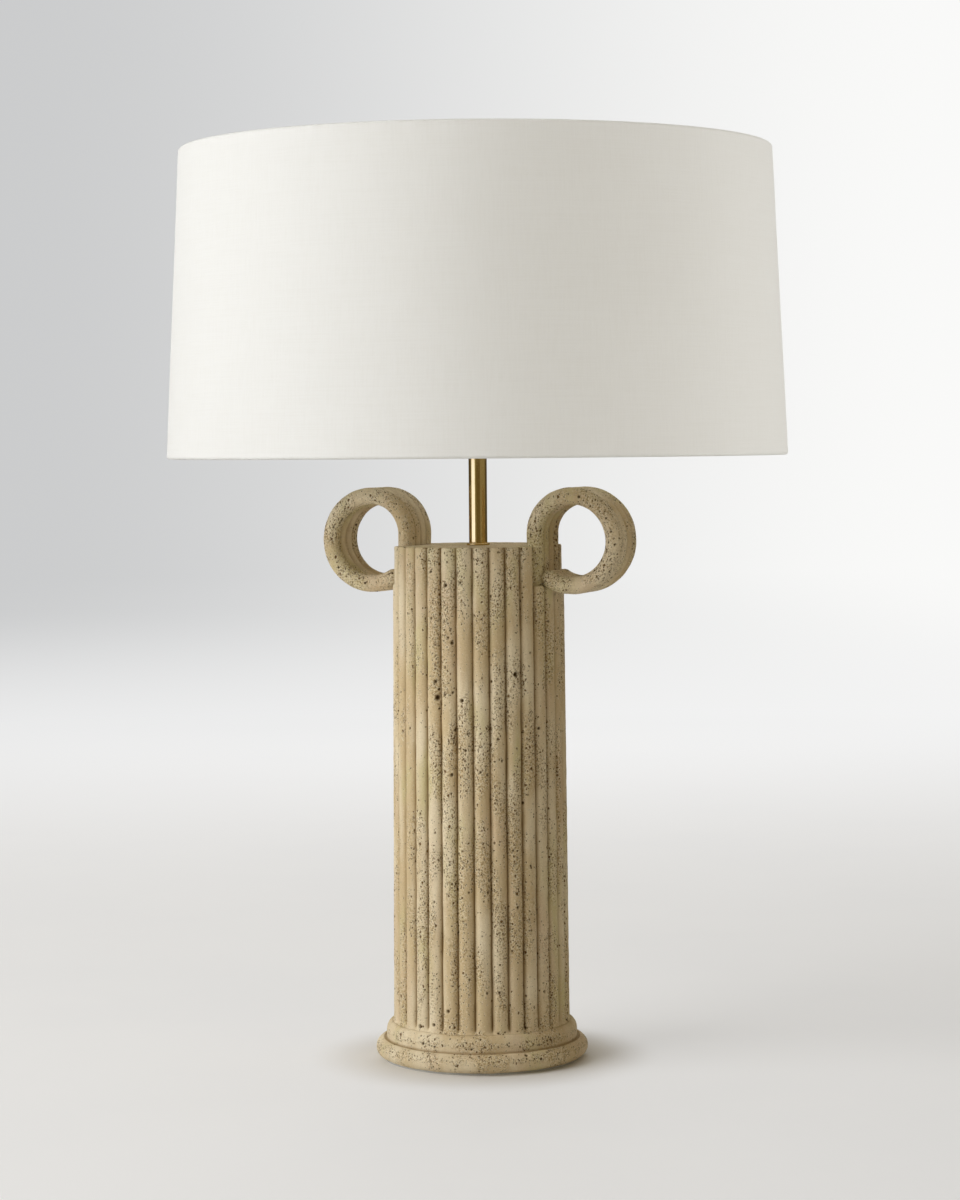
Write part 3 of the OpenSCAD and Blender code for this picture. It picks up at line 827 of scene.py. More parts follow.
@dataclass(frozen=True)
class MouldedFinish:
    """Moulded plastic or bakelite with a fine grain."""

    colour: Colour
    rough: float
    grain: Clouds = Clouds(2600, 2)
    relief: Relief = Relief(0.00004)
    cloud: Clouds = Clouds(140, 4)

    def build(self, name: str) -> Material:
        """Makes the material.

        Args:
            name: Name of the material.

        Returns:
            The material.
        """
        s = Shader(name)
        cloud = s.clouds(self.cloud)
        lighter = tuple(min(1.0, c * 1.35 + 0.01) for c in self.colour[:3]) + (1,)
        base = s.wash(self.colour, cloud, Ramp(0.35, 0.7, 0.0, 0.6), lighter)
        rough = s.maths("ADD", s.span(cloud, Ramp(0.3, 0.7, -0.05, 0.06, Ease.LINEAR)), self.rough)
        s.set(Base_Color=base, Roughness=rough, Normal=s.bump((s.clouds(self.grain), self.relief)))
        return s.material


@dataclass(frozen=True)
class FabricFinish:
    """Fine plain-weave cloth on a round shade: threads run around and up the wall."""

    colour: Colour
    thread: Colour
    radius: float
    pitch: float = 0.00055
    slubs_up: Clouds = Clouds((900, 900, 26), 3)
    slubs_round: Clouds = Clouds((22, 22, 1500), 3)
    shadow: Clouds = Clouds(5, 3)
    relief: Relief = Relief(0.00004, 0.6)

    def build(self, name: str) -> Material:
        """Makes the material.

        Args:
            name: Name of the material.

        Returns:
            The material.
        """
        s = Shader(name)
        along, up = s.around(self.radius)
        turn = 2 * math.pi / self.pitch
        weave = s.times(s.maths("SINE", s.times(up, turn)), s.maths("SINE", s.times(along, turn)))
        slubs = s.maths("ADD", s.clouds(self.slubs_up), s.clouds(self.slubs_round))
        base = s.wash(self.colour, slubs, Ramp(0.85, 1.25, 0.0, 0.26), self.thread)
        base = s.wash(base, weave, Ramp(-0.6, 0.2, 0.16, 0.0), self.thread)
        base = s.wash(base, s.clouds(self.shadow), Ramp(0.4, 0.7, 0.0, 0.15), self.thread)
        normal = s.bump((s.maths("ADD", weave, slubs), self.relief))
        s.set(Base_Color=base, Roughness=0.92, Normal=normal, Specular_IOR_Level=0.18,
              Sheen_Weight=0.12, Sheen_Roughness=0.5)
        return s.material


@dataclass(frozen=True)
class SheetFinish:
    """Felt, fibre paper or styrene sheet: a mottled matt surface."""

    colour: Colour
    fleck: Colour
    rough: float
    scale: float = 900.0
    depth: float = 0.00010
    mottle: Clouds = Clouds(24, 3)

    def build(self, name: str) -> Material:
        """Makes the material.

        Args:
            name: Name of the material.

        Returns:
            The material.
        """
        s = Shader(name)
        fibres = s.clouds(Clouds(self.scale, 5, rough=0.65))
        base = s.wash(self.colour, fibres, Ramp(0.38, 0.66, 0.0, 0.8), self.fleck)
        base = s.wash(base, s.clouds(self.mottle), Ramp(0.4, 0.7, 0.0, 0.3), self.fleck)
        s.set(Base_Color=base, Roughness=self.rough, Normal=s.bump((fibres, Relief(self.depth))))
        return s.material


@dataclass(frozen=True)
class GlassFinish:
    """Frosted white glass of the bulb."""

    colour: Colour = (0.90, 0.90, 0.875, 1)
    warm: Colour = (0.86, 0.84, 0.78, 1)
    cloud: Clouds = Clouds(40, 3)
    frost: Clouds = Clouds(160, 3)
    grain: Clouds = Clouds(900, 2)
    relief: Relief = Relief(0.00003)

    def build(self, name: str) -> Material:
        """Makes the material.

        Args:
            name: Name of the material.

        Returns:
            The material.
        """
        s = Shader(name)
        base = s.wash(self.colour, s.clouds(self.cloud), Ramp(0.4, 0.65), self.warm)
        rough = s.span(s.clouds(self.frost), Ramp(0.3, 0.7, 0.24, 0.34, Ease.LINEAR))
        s.set(Base_Color=base, Roughness=rough, Normal=s.bump((s.clouds(self.grain), self.relief)),
              Coat_Weight=0.35, Coat_Roughness=0.12)
        return s.material


class Finishes:
    """All the lamp's materials, made once, each with its slot."""

    def __init__(self) -> None:
        """Makes them."""
        brass, shadow = (0.700, 0.520, 0.225, 1), (0.420, 0.275, 0.095, 1)
        zinc, dull = (0.560, 0.560, 0.540, 1), (0.330, 0.330, 0.320, 1)
        steel, dark = (0.42, 0.43, 0.44, 1), (0.20, 0.20, 0.21, 1)
        white, thread = (0.824, 0.836, 0.832, 1), (0.754, 0.759, 0.741, 1)
        turned = MetalFinish(brass, shadow, 0.20, patina=0.35)
        drawn = MetalFinish(brass, shadow, 0.10, Lay.ALONG, 0.0000015, 0.12)
        felt = SheetFinish((0.60, 0.60, 0.575, 1), (0.44, 0.44, 0.42, 1), 0.97, 1500, 0.0003)
        moulding = MouldedFinish((0.018, 0.018, 0.018, 1), 0.42)
        paper = SheetFinish((0.62, 0.53, 0.37, 1), (0.50, 0.41, 0.27, 1), 0.85)
        styrene = SheetFinish((0.88, 0.88, 0.86, 1), (0.84, 0.84, 0.81, 1), 0.42, 60, 0.00006)
        cloth = FabricFinish(white, thread, 0.25)
        self.stone: Coat = (StoneFinish().build("cast_travertine"), Slot.STONE)
        self.brass: Coat = (turned.build("turned_brass"), Slot.BRASS)
        self.drawn_brass: Coat = (drawn.build("drawn_brass"), Slot.BRASS)
        self.steel: Coat = (MetalFinish(steel, dark, 0.38).build("plain_steel"), Slot.STEEL)
        self.zinc: Coat = (MetalFinish(zinc, dull, 0.34).build("zinc_plate"), Slot.ZINC)
        self.felt: Coat = (felt.build("pressed_felt"), Slot.FELT)
        self.black: Coat = (moulding.build("black_moulding"), Slot.BLACK_PLASTIC)
        self.paper: Coat = (paper.build("fibre_paper"), Slot.PAPER)
        self.styrene: Coat = (styrene.build("white_styrene"), Slot.STYRENE)
        self.linen: Coat = (cloth.build("fine_white_cloth"), Slot.LINEN)
        self.glass: Coat = (GlassFinish().build("frosted_glass"), Slot.OPAL_GLASS)


def dress(obj: Piece, coat: Coat, body: Optional[Body] = None, replaces: Sequence[str] = ()) -> None:
    """Gives a piece its material, and lets a new piece ride and replace nodes.

    Args:
        obj: The piece.
        coat: Its material and its slot; the slot is not used.
        body: The body that a new piece rides on, or None for a carried node.
        replaces: Nodes that the piece stands for.
    """
    material, slot = coat
    obj.data.materials.clear()
    obj.data.materials.append(material)
    if body is not None:
        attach(obj, body.value)
    if replaces:
        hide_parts(*replaces)
    LOG.info("%s: %d faces", obj.name, len(obj.data.polygons))


# Stone


@dataclass(frozen=True)
class Pit:
    """One open hole in the stone, in millimetres."""

    place: Point3
    radius: float
    depth: float


@dataclass(frozen=True)
class Zone:
    """A patch of crowded pits on the column, by angle in degrees and height in millimetres."""

    angle: float
    height: float
    half_angle: float
    half_height: float
    strength: float


def on_round(angle: float, height: float, radius: float) -> Point3:
    """The place at an angle in degrees, a height and a radius from the axis."""
    a = math.radians(angle)
    return (radius * math.cos(a), radius * math.sin(a), height)


def weather(obj: Piece, sharp: float, **values: Array) -> None:
    """Stores what the stone's finish reads and shades the piece.

    Args:
        obj: The stone piece.
        sharp: Edges that bend by more degrees than this stay sharp.
        **values: One number for each point, by the name under which the finish reads it.
    """
    for name, numbers in values.items():
        set_values(obj.data, name, numbers)
    MeshMaker.shade(obj, sharp)


class Carver:
    """Opens pits in stone pieces as real hollows."""

    CUTS = 2
    MARGIN = 1.1
    LEAST_CROWD = 0.02
    CROWD_POWER = 1.5
    SIZE_POWER = 2.2
    DEPTH = 1.1
    REACH = 1.3
    RAGGED = 0.22
    RAGGED_SCALE = 1.3
    BOWL_POWER = 3
    DARK_SLOPE = 2.2

    def __init__(self, seed: int) -> None:
        """Starts the row of random draws that belongs to a seed."""
        self.random = np.random.default_rng(seed)

    def scatter(self, mesh: Mesh, crowd: Array, count: int, radii: Point2) -> list[Pit]:
        """Chooses random places for pits, more of them where the stone is crowded.

        Args:
            mesh: The stone piece's mesh.
            crowd: How crowded each point is, from 0 to 1.
            count: Number of pits.
            radii: Least and greatest radius in millimetres.

        Returns:
            The pits.
        """
        points = points_of(mesh)
        weight = np.clip(crowd, self.LEAST_CROWD, 1.0) ** self.CROWD_POWER
        chosen = self.random.choice(len(points), size=count, replace=False, p=weight / weight.sum())
        low, high = radii
        sizes = low + (high - low) * self.random.random(count) ** self.SIZE_POWER
        return [Pit(tuple(points[i]), r, r * self.DEPTH) for i, r in zip(chosen, sizes)]

    def carve(self, obj: Piece, pits: Sequence[Pit]) -> Array:
        """Makes the mesh finer around each pit and sinks the pit.

        Args:
            obj: The stone piece.
            pits: The pits to open.

        Returns:
            How deep in a pit each point lies, from 0 to 1, which the finish turns into painted shade and
            dirt.
        """
        self._refine(obj.data, pits)
        mesh = obj.data
        points, normals = points_of(mesh), normals_of(mesh)
        tree = self._tree(points)
        hollow = np.zeros(len(points))
        sunk = np.zeros(len(points))
        for pit in pits:
            for place, i, far in tree.find_range(pit.place, pit.radius * self.REACH):
                ragged = 1 + self.RAGGED * noise.noise(Vector(place) * self.RAGGED_SCALE)
                share = far / (pit.radius * ragged)
                if share < 1:
                    bowl = 1 - share ** self.BOWL_POWER
                    sunk[i] = max(sunk[i], pit.depth * bowl)
                    hollow[i] = max(hollow[i], min(1.0, self.DARK_SLOPE * (1 - share)))
        set_points(mesh, points - normals * sunk[:, None])
        return hollow

    def _refine(self, mesh: Mesh, pits: Sequence[Pit]) -> None:
        """Splits the faces around each pit.

        Args:
            mesh: The mesh that gets finer.
            pits: The pits.
        """
        bm = bmesh.new()
        bm.from_mesh(mesh)
        bm.faces.ensure_lookup_table()
        tree = self._tree([face.calc_center_median() / MM for face in bm.faces])
        near: set[int] = set()
        for pit in pits:
            near.update(i for _, i, _ in tree.find_range(pit.place, pit.radius + self.MARGIN))
        edges = {e for i in near for e in bm.faces[i].edges}
        bmesh.ops.subdivide_edges(bm, edges=list(edges), cuts=self.CUTS, use_grid_fill=True)
        bm.to_mesh(mesh)
        bm.free()

    @staticmethod
    def _tree(places: Sequence) -> KDTree:
        """A tree that finds places near another one.

        Args:
            places: The places in millimetres.

        Returns:
            The tree, ready for use.
        """
        tree = KDTree(len(places))
        for i, place in enumerate(places):
            tree.insert(place, i)
        tree.balance()
        return tree


@dataclass
class CurledHandle:
    """A strap of four rods that rises from the column and curls outwards."""

    rod_r: float = 6.9
    rods: int = 4
    pitch: float = 11.8
    leg_x: float = 56.4
    loop_x: float = 87.4
    bend_r: float = 31.0
    loop_r: float = 36.3
    tip_angle: float = -121.5
    leg_sink: float = 32.0
    loop_rise: float = 4.5
    step: float = 1.15
    stretch: float = 1.1
    nose_lifts: tuple[int, int, int] = (0, 88, 8)
    swell: tuple[Bumps, ...] = (Bumps(0.22, 9, 7.0), Bumps(0.10, 3.2, 3.0))
    cloud: Bumps = Bumps(0.34, 12, 5.0)
    crowd_least: float = 0.02
    crowd_edge: float = 0.56
    edge_from: float = 11.5
    edge_w: float = 4.0
    crease_w: float = 26.0
    crease_power: float = 1.5
    pit_count: int = 80
    pit_radii: Point2 = (0.6, 1.5)
    sharp: float = 50.0

    def __post_init__(self) -> None:
        """Works out the heights of the bend and the loop."""
        self.width = (self.rods - 1) * self.pitch + 2 * self.rod_r
        self.top = corners_mm("check_ring")[0].z
        self.foot = self.top - self.leg_sink
        self.loop_z = self.top + self.loop_rise
        self.bend_z = self.loop_z + self.loop_r - self.bend_r

    def build(self, name: str, mirror: bool, carver: Carver) -> Piece:
        """Builds one handle.

        Args:
            name: Name of the piece.
            mirror: True for the left handle.
            carver: Opens the pits.

        Returns:
            The piece.
        """
        outline, crease = self._outline()
        rings = [self._ring(outline, *station) for station in self._stations()]
        obj = MeshMaker.sweep(name, rings, mirror, self.sharp)
        roughen(obj.data, self.swell)
        creases = np.tile(crease, len(rings))
        # The creases between the rods are stored for the finish's painted shade.
        set_values(obj.data, "groove", creases)
        crowd = self._crowd(points_of(obj.data)) * (creases < 0.2)
        hollow = carver.carve(obj, carver.scatter(obj.data, crowd, self.pit_count, self.pit_radii))
        weather(obj, self.sharp, hole=hollow, pitting=self._crowd(points_of(obj.data)))
        return obj

    def _crowd(self, points: Array) -> Array:
        """How crowded with pits the stone is: more on the edge rods than between them."""
        edge = np.clip((np.abs(points[:, 1]) - self.edge_from) / self.edge_w, 0, 1)
        return np.clip(self.crowd_least + self.crowd_edge * edge + self.cloud.at(points), 0, 1)

    def _outline(self) -> tuple[Array, Array]:
        """Draws the section across the strap.

        Returns:
            Its (thickness, width) points, and how near each is to a crease, from 0 to 1.
        """
        meet = math.degrees(math.acos(self.pitch / 2 / self.rod_r))
        last = self.rods - 1
        spans = [(last, meet - 180, 180 - meet)]
        spans += [(i, meet, 180 - meet) for i in range(last - 1, 0, -1)]
        spans += [(0, meet, 360 - meet)]
        spans += [(i, 180 + meet, 360 - meet) for i in range(1, last)]
        outline, crease = [], []
        for i, start, end in spans:
            middle = (i - last / 2) * self.pitch
            steps = max(6, round(math.radians(end - start) * self.rod_r / self.step))
            for angle in np.linspace(start, end, steps + 1)[:-1]:
                a = math.radians(angle)
                outline.append((self.rod_r * math.sin(a), middle + self.rod_r * math.cos(a)))
                near = min(angle - start, end - angle)
                crease.append(max(0.0, 1 - near / self.crease_w) ** self.crease_power)
        return np.array(outline), np.array(crease)

    def _stations(self) -> list[tuple[float, float, float, float]]:
        """Places the section along the strap: up the leg, round the bend, round the loop to its nose.

        Returns:
            Stations as (x, z, direction of the outer face in degrees, thickness share).
        """
        stations: list[tuple[float, float, float, float]] = []
        stride = self.step * self.stretch
        for z in np.arange(self.foot, self.bend_z, stride):
            stations.append((self.leg_x, z, 180.0, 1.0))
        for a in np.arange(180.0, 90.0, -math.degrees(stride / self.bend_r)):
            stations.append((*self._on(self.bend_z, self.bend_r, a), a, 1.0))
        for a in np.arange(90.0, self.tip_angle, -math.degrees(stride / self.loop_r)):
            stations.append((*self._on(self.loop_z, self.loop_r, a), a, 1.0))
        nose = math.degrees(self.rod_r / self.loop_r)
        for lift in np.arange(*self.nose_lifts):
            a = self.tip_angle - nose * math.sin(math.radians(lift))
            stations.append((*self._on(self.loop_z, self.loop_r, a), a, math.cos(math.radians(lift))))
        return stations

    def _on(self, z: float, r: float, angle: float) -> Point2:
        """The point at an angle on a circle around the loop's middle."""
        a = math.radians(angle)
        return (self.loop_x + r * math.cos(a), z + r * math.sin(a))

    def _ring(self, outline: Array, x: float, z: float, angle: float, share: float) -> Array:
        """Places the section at one station.

        Args:
            outline: The section's points.
            x: Where the station is.
            z: Its height.
            angle: Direction of the outer face in degrees.
            share: Thickness there, as a share of the whole.

        Returns:
            The ring's points.
        """
        a = math.radians(angle)
        thick, wide = outline[:, 0] * share, outline[:, 1].copy()
        middle = (self.rods - 1) / 2 * self.pitch
        over = np.abs(wide) - middle
        wide = np.sign(wide) * (np.minimum(np.abs(wide), middle) + np.maximum(over, 0) * share)
        return np.column_stack([x + thick * math.cos(a), wide, z + thick * math.sin(a)])


@dataclass
class ReededColumn:
    """The reeded column with the notches that take the handles."""

    foot_r: float = 72.8
    top_r: float = 70.1
    reeds: int = 32
    groove_depth: float = 3.8
    power: float = 3.0
    rows: int = 176
    round_edge: float = 1.3
    handle: CurledHandle = field(default_factory=CurledHandle)
    gap: float = 0.3
    clear: float = 5.0
    overlap: float = 1.0
    notch_reeds: int = 5
    sharp: float = 44.0
    across: tuple[float, ...] = (-1.0, -0.93, -0.82, -0.64, -0.40, -0.13, 0.13, 0.40, 0.64, 0.82, 0.93)
    # Rows close together over the foot, where the grooves run out, and rings across the flat top.
    close_rows: tuple[float, ...] = (0.0, 0.5, 1.1, 1.8, 2.7, 3.8)
    first_row: float = 5.2
    top_rings: tuple[float, ...] = (0.93, 0.82, 0.66, 0.46, 0.24)
    fill: float = 0.72
    fill_h: float = 2.4
    flare: float = 1.0
    flare_h: float = 0.8
    # The hand of the maker: reeds that lean, grooves of unequal depth and a surface that isn't flat.
    bumps_r: float = 60.0
    lean: Bumps = Bumps(0.0042, 26, 4.0)
    unequal: Bumps = Bumps(0.16, 17, 9.0)
    swell: tuple[Bumps, ...] = (Bumps(0.22, 11, 1.0), Bumps(0.10, 3.5, 2.0))
    cloud: Bumps = Bumps(0.20, 13, 6.0)
    cloud_stretch: Point3 = (1, 1, 0.4)
    crowd_mean: float = 0.26
    crowd_least: float = -0.25
    calm: float = 0.24
    calm_angle: float = -136.0
    calm_w: float = 26.0
    zone_slope: float = 0.8
    groove_from: float = 0.42
    groove_span: float = 0.5
    skin: float = 1.4
    pit_count: int = 620
    pit_radii: Point2 = (0.62, 1.30)
    pit_from: float = 0.86
    hole_depth: float = 1.25
    zones: tuple[Zone, ...] = (
        Zone(-90, 340, 7, 62, 0.95), Zone(-91, 235, 6, 60, 0.85), Zone(-80, 262, 6, 62, 0.90),
        Zone(-99, 352, 6, 40, 0.75), Zone(-69, 372, 7, 26, 0.55), Zone(-56, 376, 7, 28, 0.55),
        Zone(-46, 205, 6, 70, 0.90), Zone(-57, 120, 7, 62, 0.90), Zone(-46, 368, 7, 30, 0.60),
        Zone(-34, 250, 7, 90, 0.45), Zone(-22, 180, 7, 70, 0.55), Zone(-112, 120, 10, 60, 0.45),
        Zone(-124, 300, 10, 90, 0.30), Zone(-2, 330, 9, 60, 0.50), Zone(14, 150, 10, 70, 0.55),
        Zone(40, 300, 9, 80, 0.80), Zone(58, 180, 8, 70, 0.70), Zone(86, 330, 10, 60, 0.75),
        Zone(104, 150, 9, 80, 0.65), Zone(128, 260, 9, 70, 0.80), Zone(160, 130, 10, 60, 0.60),
        Zone(178, 310, 9, 60, 0.50), Zone(-150, 190, 9, 80, 0.60),
    )
    # The larger holes as (angle, height, radius).
    holes: tuple[Point3, ...] = (
        (-44.0, 321.6, 2.5), (-98.9, 316.0, 1.9), (-97.4, 303.1, 2.6), (-91.3, 393.7, 1.8),
        (-81.2, 395.9, 1.3), (-25.9, 276.7, 1.6), (-80.4, 301.1, 1.9), (-86.6, 347.5, 1.7),
        (-85.0, 277.6, 1.6), (-87.3, 241.2, 1.5), (-112.6, 34.6, 1.9), (-90.9, 49.5, 1.6),
        (-101.4, 37.4, 1.5), (-57.3, 65.0, 1.4), (-23.9, 62.2, 1.3), (47, 250, 2.3), (96, 210, 1.9),
        (140, 330, 2.2), (170, 96, 2.0), (-140, 250, 1.7),
    )

    def __post_init__(self) -> None:
        """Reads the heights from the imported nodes."""
        self.bottom = corners_mm("plinth")[1].z
        self.top = corners_mm("check_ring")[0].z

    def build(self, carver: Carver) -> Piece:
        """Builds the column with its grooves, notches and pits.

        Args:
            carver: Opens the pits.

        Returns:
            The piece.
        """
        obj = self._fluted()
        combine(obj, self._notches(), Join.DIFFERENCE)
        points = points_of(obj.data)
        outside = np.hypot(points[:, 0], points[:, 1]) > self.top_r * self.pit_from
        pits = carver.scatter(obj.data, self._crowd(points) * outside, self.pit_count, self.pit_radii)
        pits += [Pit(on_round(a, z, self._reach(a, z)), r, self.hole_depth * r) for a, z, r in self.holes]
        hollow = carver.carve(obj, pits)
        points = points_of(obj.data)
        weather(obj, self.sharp, hole=hollow, pitting=self._crowd(points), groove=self._groove(points))
        return obj

    def _scale(self, z: Array) -> Array:
        """Taper of the column at a height, as a share of its foot."""
        share = (z - self.bottom) / (self.top - self.bottom)
        return 1 + (self.top_r / self.foot_r - 1) * share

    def _reach(self, angle: float, z: float) -> float:
        """Radius of the plain surface.

        Args:
            angle: Where, in degrees.
            z: At which height.

        Returns:
            The radius.
        """
        pitch = 360 / self.reeds
        u = 2 * ((angle / pitch + 0.5) % 1.0) - 1
        flat = self.foot_r - self.groove_depth * abs(u) ** self.power
        return float(flat * self._scale(np.array(z)))

    def _levels(self) -> tuple[Array, Array]:
        """Sets the rows of points up the shaft.

        Returns:
            Their heights, and how far the rounded upper edge steps in at each.
        """
        e = self.round_edge
        turn = np.radians([30, 60, 90])
        close = self.bottom + np.array(self.close_rows)
        plain = np.linspace(self.bottom + self.first_row, self.top - e, self.rows)
        levels = np.concatenate([close, plain, self.top - e * (1 - np.sin(turn))])
        return levels, np.concatenate([np.zeros(len(close) + self.rows), e * (1 - np.cos(turn))])

    def _fluted(self) -> Piece:
        """Builds the whole reeded shaft, before the notches are cut.

        Returns:
            The shaft.
        """
        u = np.tile(np.array(self.across), self.reeds)
        k = np.repeat(np.arange(self.reeds), len(self.across))
        pitch = 2 * math.pi / self.reeds
        rings = []
        for z, inset in zip(*self._levels()):
            angle = pitch * (k + u / 2)
            level = np.full(len(u), z)
            raw = np.column_stack([np.cos(angle) * self.bumps_r, np.sin(angle) * self.bumps_r, level])
            ending = math.exp(-((z - self.bottom) / self.fill_h) ** 2)
            depth = self.groove_depth * (1 + self.unequal.at(raw)) * (1 - self.fill * ending)
            swell = sum(bumps.at(raw) for bumps in self.swell)
            angle = angle + self.lean.at(raw)
            flare = self.flare * math.exp(-(z - self.bottom) / self.flare_h)
            full = self.foot_r - depth * np.abs(u) ** self.power + swell
            r = full * self._scale(np.array(z)) - inset + flare
            rings.append(np.column_stack([r * np.cos(angle), r * np.sin(angle), level]))
        edge = rings[-1]
        for share in self.top_rings:
            rings.append(edge * np.array([share, share, 1.0]))
        return MeshMaker.sweep("reeded_column", rings, sharp=self.sharp)

    def _notches(self) -> Piece:
        """Builds the solid that is cut away for both handles: a wedge, a pocket and a scoop on each side.

        Returns:
            The solid.
        """
        handle, gap = self.handle, self.gap
        half = math.radians(self.notch_reeds * 180 / self.reeds)
        foot = handle.foot
        far, over = self.foot_r + self.clear, self.top + self.clear
        inner_w = handle.leg_x * math.tan(half) + gap
        outer_w = far * math.tan(half) + gap
        wedge = prism("notch", [(handle.leg_x, -inner_w), (far, -outer_w), (far, outer_w),
                                (handle.leg_x, inner_w)], foot, over, True)
        near_x, far_x = handle.leg_x - handle.rod_r - gap, handle.leg_x + self.overlap
        wide = handle.width / 2 + gap
        corners = [(near_x, -wide), (far_x, -wide), (far_x, wide), (near_x, wide)]
        reach = handle.loop_r + handle.rod_r + gap
        open_a = math.degrees(math.acos((handle.leg_x - handle.loop_x) / reach))
        round_loop = arc(handle.loop_x, handle.loop_z, reach, -open_a, open_a, 90)
        combine(wedge, prism("pocket", corners, foot, over, True), Join.UNION)
        combine(wedge, prism("scoop", round_loop, -wide, wide, False), Join.UNION)
        other = wedge.copy()
        other.data = wedge.data.copy()
        bpy.context.scene.collection.objects.link(other)
        set_points(other.data, points_of(other.data) * np.array([-1.0, 1.0, 1.0]))
        other.data.flip_normals()
        combine(wedge, other, Join.UNION)
        return wedge

    def _crowd(self, points: Array) -> Array:
        """Says how crowded with pits the stone is.

        Args:
            points: Points in millimetres.

        Returns:
            A value for each, from crowd_least to 1.
        """
        angle = np.degrees(np.arctan2(points[:, 1], points[:, 0]))
        total = self.crowd_mean + self.cloud.at(points * np.array(self.cloud_stretch))
        total = total - self.calm * np.exp(-((angle - self.calm_angle) / self.calm_w) ** 4)
        for zone in self.zones:
            turn = (angle - zone.angle + 180) % 360 - 180
            near = (turn / zone.half_angle) ** 2 + ((points[:, 2] - zone.height) / zone.half_height) ** 2
            total = np.maximum(total, zone.strength * np.exp(-near * self.zone_slope) + self.crowd_least)
        return np.clip(total, self.crowd_least, 1)

    def _groove(self, points: Array) -> Array:
        """Says how deep in a groove points lie, for the painted shade in the grooves.

        Args:
            points: Points in millimetres.

        Returns:
            A value for each, from 0 to 1.
        """
        radial = np.hypot(points[:, 0], points[:, 1])
        full = self.foot_r * self._scale(points[:, 2])
        sunk = (full - radial) / self.groove_depth
        on_skin = radial > full - self.groove_depth * self.skin
        return np.clip((sunk - self.groove_from) / self.groove_span, 0, 1) * on_skin


@dataclass(frozen=True)
class Band:
    """A soft band of a value around one height."""

    height: float
    half_height: float

    def at(self, heights: Array) -> Array:
        """One in the middle of the band, and less and less away from it."""
        return np.exp(-((heights - self.height) / self.half_height) ** 2)


